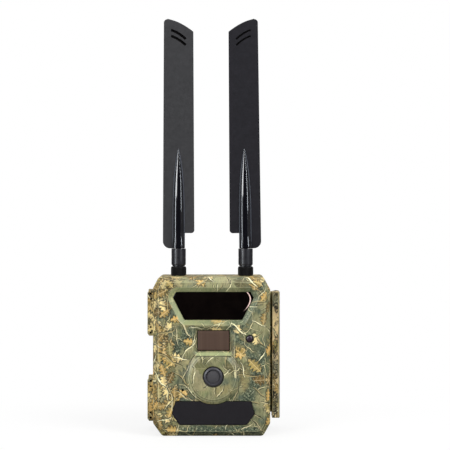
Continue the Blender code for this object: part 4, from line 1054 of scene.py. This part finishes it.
def knuckle(low, high, leaf):
    """Hinge knuckle: leaf and barrel, with softened ends."""
    start, end = sorted((HINGE.y + leaf / abs(leaf) * 0.4, HINGE.y + leaf))
    return (soft_prism(rectangle((HINGE_LEFT, start), (HINGE_RIGHT, end)), "xy", low, high, 0.25),
            barrel(HINGE[:2], KNUCKLE_RADIUS, low, high, 0.25))


def make_front_shell():
    """Front shell with windows, lens cone, hinge leaves, sink holes and bores."""
    profile = ((5.4, 0.0), (4.9, 0.07), (4.5, 0.35), (4.2, 0.7), (0.9, 4.0), (0.45, 4.6),
               (0.12, 5.4), (0.0, 6.4))
    rings = [case_ring(FRONT_Y + y, depth) for depth, y in profile]
    rings += [case_ring(SPLIT_Y - y, depth) for depth, y in ((0.0, 0.5), (0.12, 0.15), (0.45, 0.0))]
    shell = raw("front_shell", loft(rings))
    steps = cut(case_block(CAVITY_Y, SPLIT_Y + 5.0, WALL)) + join(lens_cone(), microphone_tab())
    chamfer_x, chamfer_z = HINGE_LEFT + 1.6, 2.2
    for low, high in hinge_spans():
        outline = [(chamfer_x, low), (HINGE_RIGHT, low), (HINGE_RIGHT, high), (chamfer_x, high),
                   (HINGE_LEFT, high - chamfer_z), (HINGE_LEFT, low + chamfer_z)]
        leaf = soft_prism(rounded(outline, 0.6, 4), "xz", LEAF_Y, HINGE.y - LEAF_CLEARANCE, 0.5)
        reach = KNUCKLE_LENGTH + GAP
        steps += join(leaf, *knuckle(low + reach, high - reach, 1.0 - FRONT_LEAF))
    seat = [(panel_outline(extra), FRONT_Y + y)
            for extra, y in ((1.0, -1.0), (0.75, -0.05), (0.45, 0.25), (GAP, 0.8))]
    seat.append((panel_outline(GAP), PANEL_HIGH.y + GAP))
    lens = ((LENS_BORE + 1.2, -1.0), (LENS_BORE + 0.5, 0.0), (LENS_BORE + 0.1, 0.25),
            (LENS_BORE, 0.7))
    steps += cut(mouth(ir_outline(), 4.0, 3.0, 0.8), mouth(pir_outline(), 3.9, 3.0, 0.6),
                 stacked("xz", seat), front_hole(lens, LENS_FRONT, (0.0, LENS_Z)),
                 front_hole(((4.6, -1.0), (4.1, 0.0), (3.6, 0.45)), FRONT_Y, SENSOR),
                 front_hole(((1.3, -2.0), (1.3, -0.7), (1.15, -0.5)), FRONT_Y, MICROPHONE, 32),
                 rod("z", middle("dc_plug", 0, 1), (JACK_HIGH.x - JACK_LOW.x) / 2 + GAP, -PAST, 4.0))
    for side in ANTENNA_SIDES:
        axis = joint_point("nut_" + side + "_turn")
        steps += cut(rod("z", axis[:2], NUT_BORE, CASE_HEIGHT - 4.0, CASE_HEIGHT + PAST))
    for low, high in hinge_spans():
        steps += cut(hinge_bore(low, high))
        for step in SINK_HOLES:
            for z in (low + step, high - step):
                steps += cut(rod("y", (SINK_X, z), 1.0, LEAF_Y - PAST, LEAF_Y + 5.0, 24))
    shape(shell, steps)
    finish(shell, "camo_shell", "front_unit", "camo_shell", "front_housing")
    near, far = SINK_HOLES
    for index, (low, high) in enumerate(hinge_spans()):
        for number, z in enumerate((low + near, low + far, high - far, high - near)):
            cap = rod("y", (SINK_X, z), 0.97, LEAF_Y + 0.9, LEAF_Y + 2.0, 24)
            piece = raw("sink_shadow_" + str(index) + "_" + str(number), cap)
            finish(piece, "window_black", "front_unit", "seal_rubber")
    # painted shade: a black disc fills the microphone hole, for the shade of the hole and its acoustic
    # mesh
    mesh = rod("y", MICROPHONE, 1.13, FRONT_Y - 0.3, FRONT_Y + 0.8, 24)
    finish(raw("microphone_hole_shade", mesh), "window_black", "front_unit", "seal_rubber")


def seal_groove():
    """Ring that is cut for the seal."""
    groove = raw("groove", case_block(SPLIT_Y - 1.0, SPLIT_Y + 2.2, 1.2))
    shape(groove, cut(case_block(SPLIT_Y - 2.0, SPLIT_Y + 3.0, 2.9)))
    ring = bmesh.new()
    ring.from_mesh(groove.data)
    bmesh.ops.scale(ring, vec=(1 / MM, 1 / MM, 1 / MM), verts=ring.verts)
    bpy.data.objects.remove(groove, do_unlink=True)
    return ring


def make_rear_shell():
    """Rear shell with knuckles, latch ears, seal groove and tripod bore."""
    rim_y = SPLIT_Y + GAP
    profile = ((0.45, rim_y), (0.12, rim_y + 0.15), (0.0, rim_y + 0.5), (0.0, REAR_Y - 4.8),
               (0.15, REAR_Y - 4.2), (0.5, REAR_Y - 3.6), (3.6, REAR_Y - 0.4),
               (4.1, REAR_Y - 0.08), (4.8, REAR_Y))
    shell = raw("rear_shell", loft([case_ring(y, depth) for depth, y in profile]))
    pin_low, pin_high = LATCH_PIN_LOW.z, LATCH_PIN_HIGH.z
    rail = rectangle((CASE_RIGHT - 1.5, RAIL_FRONT), (LATCH.x - 0.8, RAIL_REAR))
    steps = cut(case_block(SPLIT_Y - 1.0, REAR_Y - WALL, RIM))
    steps += join(soft_prism(rail, "xy", pin_low, pin_high, 0.3))
    for low, high in hinge_spans():
        for start in (low, high - KNUCKLE_LENGTH):
            steps += join(*knuckle(start, start + KNUCKLE_LENGTH, REAR_LEAF))
    root = rectangle((CASE_RIGHT - 5.5, LATCH.y - LATCH_BARREL), (LATCH.x, LATCH.y + 1.3))
    for start in (pin_low - GAP, pin_high + GAP - EAR_LENGTH):
        steps += join(soft_prism(root, "xy", start, start + EAR_LENGTH, 0.3),
                      barrel(LATCH[:2], LATCH_BARREL, start, start + EAR_LENGTH, 0.3))
    centre = middle("tripod_insert", 0, 2)
    radius = (INSERT_HIGH.x - INSERT_LOW.x) / 2 + GAP
    bore = ((0, -7.0), (radius, -7.0), (radius, -0.5), (radius + 0.5, 0.0), (radius + 1.0, 1.0),
            (0, 1.0))
    steps += cut(rod("z", LATCH[:2], LATCH_BORE, pin_low - 2.0, pin_high + 2.0),
                 lathed(bore, REAR_Y, centre, 64),
                 *(hinge_bore(low, high) for low, high in hinge_spans()), seal_groove())
    shape(shell, steps)
    finish(shell, "camo_shell", "rear_case", "camo_shell", "rear_cover")
    plug = rod("y", centre, INSERT_BORE, INSERT_LOW.y + 0.05, INSERT_LOW.y + 1.0)
    finish(raw("insert_end", plug), "seal_rubber", "rear_case", "seal_rubber")


def make_strap_bridge(side):
    """Strap bridge with a toothed back that bites the bark."""
    node = "strap_bridge_" + side
    low, high = span(node)
    slot_low, slot_high, bar_y = low.z + 6.0, high.z - 6.0, high.y - 2.3
    count, top, bottom = 8, high.z - 3.5, low.z + 3.5
    pitch = (top - bottom) / count
    end_y, slope_y, gullet_y, slope = high.y - 2.4, high.y - 1.4, high.y - 0.9, 2.0
    outline = [(low.y, low.z), (end_y, low.z), (slope_y, low.z + slope)]
    for k in range(count):
        z = bottom + (top - bottom) * k / count
        outline += [(gullet_y, z), (high.y, z + pitch * 0.35), (high.y, z + pitch * 0.65),
                    (gullet_y, z + pitch)]
    outline += [(slope_y, high.z - slope), (end_y, high.z), (low.y, high.z), (low.y, slot_high),
                (bar_y, slot_high), (bar_y, slot_low), (low.y, slot_low)]
    outline = list(dict.fromkeys((round(u, 4), round(v, 4)) for u, v in outline))
    bridge = raw("strap_loop_" + side, prism(outline, "yz", low.x, high.x))
    soften(bridge, 0.35)
    bake_modifiers(bridge)
    finish(bridge, "camo_shell", "rear_case", "camo_shell", node)


def make_latch():
    """Side latch: a C-shaped bar with a rounded finger edge, and its barrel."""
    outer, inner, web = LATCH_HIGH.x, LATCH_LOW.x, LATCH_HIGH.x - LATCH_WEB
    front_y, rear_y = LATCH_LOW.y, LATCH.y - 4.6
    edge_y, hook_y, hook_end, web_y = 1.5, 8.0, 10.5, 12.5
    outline = [(inner, front_y), (outer, front_y), (outer, rear_y), (web - 0.5, rear_y),
               (web, web_y), (inner, hook_end), (inner, hook_y), (web, hook_y), (web, edge_y),
               (inner, edge_y)]
    soft, wide = rounded(outline, 0.5, 4), rounded(outline, 1.6, 4)
    per = len(soft) // len(outline)
    profile = soft[:per] + wide[per:3 * per] + soft[3 * per:]
    plate = raw("latch_plate", soft_prism(profile, "xy", LATCH_LOW.z, LATCH_HIGH.z, 0.6))
    low, high = LATCH_PIN_LOW.z + EAR_LENGTH, LATCH_PIN_HIGH.z - EAR_LENGTH
    arm = rectangle((web - 0.4, LATCH.y - 6.0), (LATCH.x + 2.9, LATCH.y))
    steps = join(soft_prism(arm, "xy", low, high, 0.3),
                 barrel(LATCH[:2], LATCH_BARREL, low, high, 0.3))
    shape(plate, steps + cut(rod("z", LATCH[:2], LATCH_BORE, low - PAST, high + PAST)))
    finish(plate, "camo_latch", "latch", "camo_latch", "latch_lever")


# ---------------------------------------------------------------- front fittings

def make_front_fittings():
    """Windows, trim panel, lens and sensor."""
    glass = rounded(inset(ir_outline(), GAP), 0.7)
    sheet = [(rounded(inset(pir_outline(), 0.45 + depth), 0.5, 4), PIR_LOW.y + rise)
             for depth, rise in ((3.0, 0.0), (1.2, 0.08), (0.3, 0.25), (0.0, 0.6), (0.0, 1.6))]
    rim = ((6.0, 3.1), (6.1, 1.7), (6.3, 0.95), (6.6, 0.6), (6.95, 0.5), (7.4, 0.62), (7.9, 0.9),
           (8.5, 1.25), (8.95, 1.65), (9.15, 2.2), (9.2, 3.0), (9.2, 9.0), (6.0, 9.0))
    dome = ((0, 1.45), (1.5, 1.48), (3.0, 1.58), (4.5, 1.76), (5.9, 2.05), (5.9, 4.6), (0, 4.6))
    deep = SENSOR_HIGH.y - SENSOR_LOW.y
    bulb = ((0, 0.0), (1.0, 0.07), (1.9, 0.28), (2.6, 0.65), (2.95, 1.1), (3.0, 1.6), (3.0, deep),
            (0, deep))
    for name, solid, look, slot, node, angle in (
            ("ir_glass", soft_prism(glass, "xz", IR_LOW.y, IR_HIGH.y, 0.35),
             "infrared_glass", "window_black", "ir_window", 32.0),
            ("pir_sheet", stacked("xz", sheet), "pir_brown", "pir_brown", "pir_window", 60.0),
            ("trim_panel", soft_prism(panel_outline(0.0), "xz", PANEL_LOW.y, PANEL_HIGH.y, 0.35),
             "panel_charcoal", "panel_charcoal", "lower_panel", 32.0),
            ("lens_rim", lathed(rim, LENS_FRONT, (0.0, LENS_Z)),
             "lens_satin", "gloss_black", "lens_bezel", 32.0),
            ("lens_front", lathed(dome, LENS_FRONT, (0.0, LENS_Z)),
             "lens_grey", "lens_grey", "lens_glass", 32.0),
            ("sensor_bulb", lathed(bulb, SENSOR_LOW.y, SENSOR, 64),
             "sensor_dome", "sensor_dome", "light_sensor", 32.0)):
        finish(raw(name, solid), look, "front_unit", slot, node, angle)


# ---------------------------------------------------------------- antennas

def knurled_nut(side):
    """Round nut with straight knurling between plain chamfered rims."""
    node = "antenna_nut_" + side
    low, high = span(node)
    axis = joint_point("nut_" + side + "_turn")
    radius, ribs, wave = (high.x - low.x) / 2 + ANTENNA_EXTRA, 40, (0.0, 0.5, 1.0, 0.5)
    count = ribs * len(wave)
    levels = [(-0.9, 0.0, low.z), (-0.35, 0.0, low.z + 0.25), (-0.2, 0.0, low.z + 0.8),
              (0.0, 0.45, low.z + 1.1), (0.0, 0.45, high.z - 1.3), (-0.2, 0.0, high.z - 1.0),
              (-0.3, 0.0, high.z - 0.35), (-0.8, 0.0, high.z)]
    levels += [(NUT_BORE - radius, 0.0, high.z), (NUT_BORE - radius, 0.0, low.z)]
    rings = []
    for extra, rib_depth, z in levels:
        ring = []
        for k in range(count):
            reach = radius + extra - rib_depth * wave[k % len(wave)]
            angle = tau * k / count
            ring.append((axis.x + reach * cos(angle), axis.y + reach * sin(angle), z))
        rings.append(ring)
    piece = raw("knurled_nut_" + side, loft(rings, hollow=True))
    finish(piece, "antenna_black", "nut_" + side, "antenna_black", node, angle=25.0)


def elbow_collar(side):
    """Forked collar with soft rims."""
    node = "antenna_collar_" + side
    low, high = span(node)
    axis = elbow(side)
    radius = (high.x - low.x) / 2 + ANTENNA_EXTRA
    stem, neck, stem_z, neck_z = 3.1, 5.7, 152.2, 153.2
    profile = [(0, low.z), (stem, low.z), (stem, stem_z), (neck, stem_z), (neck, neck_z - 0.1),
               (radius - 0.6, neck_z), (radius - 0.15, neck_z + 0.4), (radius, neck_z + 0.9),
               (radius, high.z - 0.35), (radius - 0.1, high.z - 0.1), (radius - 0.35, high.z),
               (0, high.z)]
    collar = raw("elbow_" + side, turned(profile, "z", axis[:2]))
    half, swing, wide, away = 2.8, 3.6, 8.0, 12.0
    slot = box((axis.x - half, axis.y - swing, axis.z - swing),
               (axis.x + half, axis.y + away, high.z + PAST))
    corner = arc((axis.y, axis.z), wide, 90.0, 0.0, 24)
    corner += [(axis.y + away, axis.z), (axis.y + away, axis.z + away), (axis.y, axis.z + away)]
    shape(collar, cut(slot, prism(corner, "yz", axis.x - wide, axis.x + wide),
                      rod("x", axis[1:], ELBOW_BORE, axis.x - wide, axis.x + wide, 32)))
    finish(collar, "collar_satin", "collar_" + side, "antenna_black", node)


def spine_reach(share):
    """Half width of the spine, from its foot at 0 to its tip at 1."""
    return SPINE_TIP + SPINE_SWELL * (1.0 - share ** 4)


def spine_section(share):
    """Section of the spine about its axis: a rounded keel on each side of a thin flange."""
    outer, edge, steps = spine_reach(share), 2.35, 18
    flange = min(0.85, outer * 0.35) * min(share / 0.12, 1.0)
    half = max(outer - flange, 0.15)
    keel = [(outer, edge - 0.25), (outer - 0.06, edge)]
    keel += [(half * cos(pi * k / steps), edge + 0.64 * half * sin(pi * k / steps))
             for k in range(steps + 1)]
    keel += [(-outer + 0.06, edge), (-outer, edge - 0.25)]
    return keel + [(-u, -v) for u, v in keel]


def make_spine(side):
    """Glossy spine: an ogive keel over the blade, with the elbow's eye under it."""
    axis = elbow(side)
    base = axis.z + SPINE_START
    shares = [0.0, 0.003, 0.008, 0.05, 0.09, 0.13] + [0.17 + 0.83 * (k / 26) ** 0.8 for k in range(27)]
    rings = []
    for number, share in enumerate(shares):
        fit = (0.93, 0.985, 1.0)[min(number, 2)]
        rings.append([(axis.x + u * fit, axis.y + v * fit, base + SPINE_LENGTH * share)
                      for u, v in spine_section(share)])
    spine = raw("spine_" + side, leaned(loft(rings), side))
    half, swing = 2.5, 3.2
    shank = box((axis.x - half, axis.y - swing, axis.z), (axis.x + half, axis.y + swing, base + 1.0))
    eye = rod("x", axis[1:], swing, axis.x - half, axis.x + half)
    steps = join(leaned(shank, side), leaned(eye, side))
    shape(spine, steps + cut(rod("x", axis[1:], ELBOW_BORE, axis.x - 6.0, axis.x + 6.0, 32)))
    finish(spine, "spine_gloss", "antenna_" + side, "gloss_black", "antenna_spine_" + side,
           angle=40.0)


def blade_outline():
    """Blade about its own axis, with its outer side at -X: stepped foot and arched top."""
    half, top_half, low, step_z = 14.4, 13.5, 168.6, 182.6
    outer_top, inner_top, corner = 379.9, 367.7, 3.2
    foot = arc((-half + 6.6, low + 6.6), 6.6, 180.0, 270.0, 16)
    step = arc((half - 2.8, step_z + 2.8), 2.8, -90.0, 0.0, 10)
    tops = []
    for k in range(25):
        share = 1.0 - k / 24
        x = -top_half + 2 * top_half * share
        bulge = 2.2 * sin(pi * share)
        tops.append((x, outer_top + (inner_top - outer_top) * share + bulge))
    kept = [point for point in tops if point[0] > -top_half + corner]
    tip = arc((-top_half + corner, kept[-1][1] - corner - 0.4), corner, 92.0, 180.0, 12)
    shoulder = arc((top_half - 1.0, tops[0][1] - 0.6), 1.0, 0.0, 55.0, 6)
    kept = [point for point in kept if point[0] < top_half - 1.4]
    return foot + [(0.0, low), (0.0, step_z)] + step + shoulder + kept + tip


def blade_groove(centre_z, width):
    """Outline of a curved groove, parallel to the blade's top."""
    inner, outer, steps = 6.6, -6.8, 16
    middles = []
    for k in range(steps + 1):
        share = k / steps
        x = inner + (outer - inner) * share
        middles.append(Vector((x, centre_z - 4.15 + 8.3 * share + 4.2 * share * (1 - share))))
    left, right = [], []
    for k, point in enumerate(middles):
        run = (middles[min(k + 1, steps)] - middles[max(k - 1, 0)]).normalized()
        normal = Vector((-run.y, run.x))
        left.append(tuple(point + normal * width / 2))
        right.append(tuple(point - normal * width / 2))
    return left + right[::-1]


def placed(outline, side):
    """Anticlockwise outline on an antenna's axis, with its outer side away from the other one."""
    axis = elbow(side)
    points = [(axis.x - ANTENNA_SIDES[side] * u, v) for u, v in outline]
    area = sum(points[i - 1][0] * points[i][1] - points[i][0] * points[i - 1][1]
               for i in range(len(points)))
    return points if area > 0 else points[::-1]


def make_blade(side):
    """Flat blade with rounded rims, its seat for the spine and two grooves on each face."""
    axis = elbow(side)
    front, rear = axis.y - BLADE_HALF, axis.y + BLADE_HALF
    plate = soft_prism(placed(blade_outline(), side), "xz", front, rear, 0.5)
    blade = raw("blade_" + side, leaned(plate, side))
    base, steps = axis.z + SEAT_START, 24
    seat = [(max(spine_reach(k / steps) - 0.5, 0.1), base + SEAT_LENGTH * (k / steps))
            for k in range(steps + 1)]
    seat = [(seat[0][0], base - 2.0)] + seat
    outline = placed(seat + [(-x, z) for x, z in reversed(seat)], side)
    cuts = cut(leaned(prism(outline, "xz", front - PAST, rear + PAST), side))
    grooves = [placed(blade_groove(z, GROOVE_WIDTHS[side]), side) for z in GROOVE_HEIGHTS]
    for groove in grooves:
        for low, high in ((front - PAST, front + GROOVE_DEPTH), (rear - GROOVE_DEPTH, rear + PAST)):
            cuts += cut(leaned(prism(groove, "xz", low, high), side))
    shape(blade, cuts)
    body = "antenna_" + side
    finish(blade, body, body, "antenna_black", "antenna_blade_" + side)
    for number, groove in enumerate(grooves):
        for face, low in enumerate((front + INLAY_DEPTH, rear - INLAY_DEPTH - INLAY)):
            inlay = prism(inset(groove, 0.05), "xz", low, low + INLAY)
            piece = raw("groove_" + side + "_" + str(number) + str(face), leaned(inlay, side))
            finish(piece, "window_black", body, "antenna_black")


# ---------------------------------------------------------------- carried-over nodes

def paint_nodes():
    """Give every CAD node that still shows its finish, with a small rounded edge."""
    for name, node in frame["nodes"].items():
        slot = next(item["material_slot"] for item in frame["record"]["subparts"]
                    if item["node"] == name)
        node.data.materials.clear()
        node.data.materials.append(MATERIALS[slot])
        low, high = span(name)
        soften(node, min(0.3, min(high - low) * 0.12))


# ---------------------------------------------------------------- stage

def make_floor():
    """Floor that is white to the camera, with a faint shadow by the case, and reflects as black."""
    bpy.ops.mesh.primitive_circle_add(vertices=64, radius=30.0, fill_type="NGON",
                                      location=(0.0, 0.0, -0.0002))
    floor = bpy.context.object
    floor.name = "floor"
    g = Graph("floor_white")
    path = g.add("LightPath").outputs
    tone = g.mix(path["Is Diffuse Ray"], (0.86, 0.86, 0.86, 1.0), (0.40, 0.40, 0.39, 1.0))
    g.set(Base_Color=tone, Roughness=0.9, Specular_IOR_Level=0.1)
    away = g.vector("LENGTH", g.vector("MULTIPLY", g.place(), (1.0, 1.3, 0.0)))
    white = g.times(path["Is Camera Ray"], g.fade(away, 60.0, 330.0, 0.82, 1.0))
    glow = g.add("Emission", (("Color", (1.0, 1.0, 1.0, 1.0)), ("Strength", path["Is Camera Ray"])))
    blend = g.add("MixShader", ((0, g.most(white, path["Is Glossy Ray"])),
                                (1, g.shader.outputs[0]), (2, glow.outputs[0])))
    g.put(g.tree.nodes["Material Output"].inputs["Surface"], blend.outputs[0])
    floor.data.materials.append(g.owner)


def make_surroundings():
    """Surroundings: white to the camera, dim as light, nearly black straight before the case."""
    g = Graph("studio", "worlds", "Background")
    direction = g.split(g.add("TexCoord").outputs["Generated"])[1]
    dark = g.fade(direction, -0.80, -0.93, 0.34, 0.01)
    strength = g.add("Mix", ((0, g.add("LightPath").outputs["Is Camera Ray"]), (2, dark), (3, 1.0)))
    g.set(Color=(1.0, 1.0, 1.0, 1.0), Strength=strength.outputs[0])
    bpy.context.scene.world = g.owner


def make_softboxes():
    """Area lights that face the middle of the object; the strips only show in reflections."""
    centre = Vector((0.0, 0.0, 0.16))
    softboxes = {"key": ((0.85, -0.75, 1.0), (0.55, 0.55), 15.0),
                 "fill": ((-0.9, -1.1, 0.60), (0.6, 0.6), 13.0),
                 "top": ((-0.1, 0.1, 1.3), (0.8, 0.5), 5.0),
                 "strip_left": ((-0.98, -0.78, 0.30), (0.10, 1.0), 9.0),
                 "strip_right": ((0.80, -0.90, 0.58), (0.06, 0.7), 5.0)}
    for name, (place, size, power) in softboxes.items():
        light = bpy.data.lights.new(name, "AREA")
        light.shape = "RECTANGLE"
        light.size, light.size_y = size
        light.energy = power
        lamp = bpy.data.objects.new(name, light)
        lamp.location = place
        lamp.rotation_euler = (centre - Vector(place)).to_track_quat("-Z", "Y").to_euler()
        if name.startswith("strip"):
            light.color = (0.86, 0.93, 1.0)
            lamp.visible_diffuse = False
        bpy.context.collection.objects.link(lamp)


def make_camera():
    """Level camera in front of the case, at the height of the middle of the whole object."""
    distance, front, view_width, sensor, aim_x = 1.10, -FRONT_Y * MM - 0.0045, 0.405, 36.0, 0.0105
    camera = bpy.data.cameras.new("camera")
    camera.sensor_width = sensor
    camera.sensor_fit = "HORIZONTAL"
    camera.lens = sensor * (distance - front) / view_width
    camera.clip_end = 100.0
    holder = bpy.data.objects.new("camera", camera)
    holder.location = (aim_x, -distance, CAD_BOX[1][2] / 2)
    holder.rotation_euler = (pi / 2, 0.0, 0.0)
    bpy.context.collection.objects.link(holder)
    bpy.context.scene.camera = holder
    bpy.context.scene.view_settings.view_transform = "Standard"


make_camera()
make_floor()
make_surroundings()
make_softboxes()
paint_nodes()
make_front_shell()
make_rear_shell()
for bridge_side in ("left", "right"):
    make_strap_bridge(bridge_side)
make_latch()
make_front_fittings()
for antenna_side in ANTENNA_SIDES:
    knurled_nut(antenna_side)
    elbow_collar(antenna_side)
    make_spine(antenna_side)
    make_blade(antenna_side)
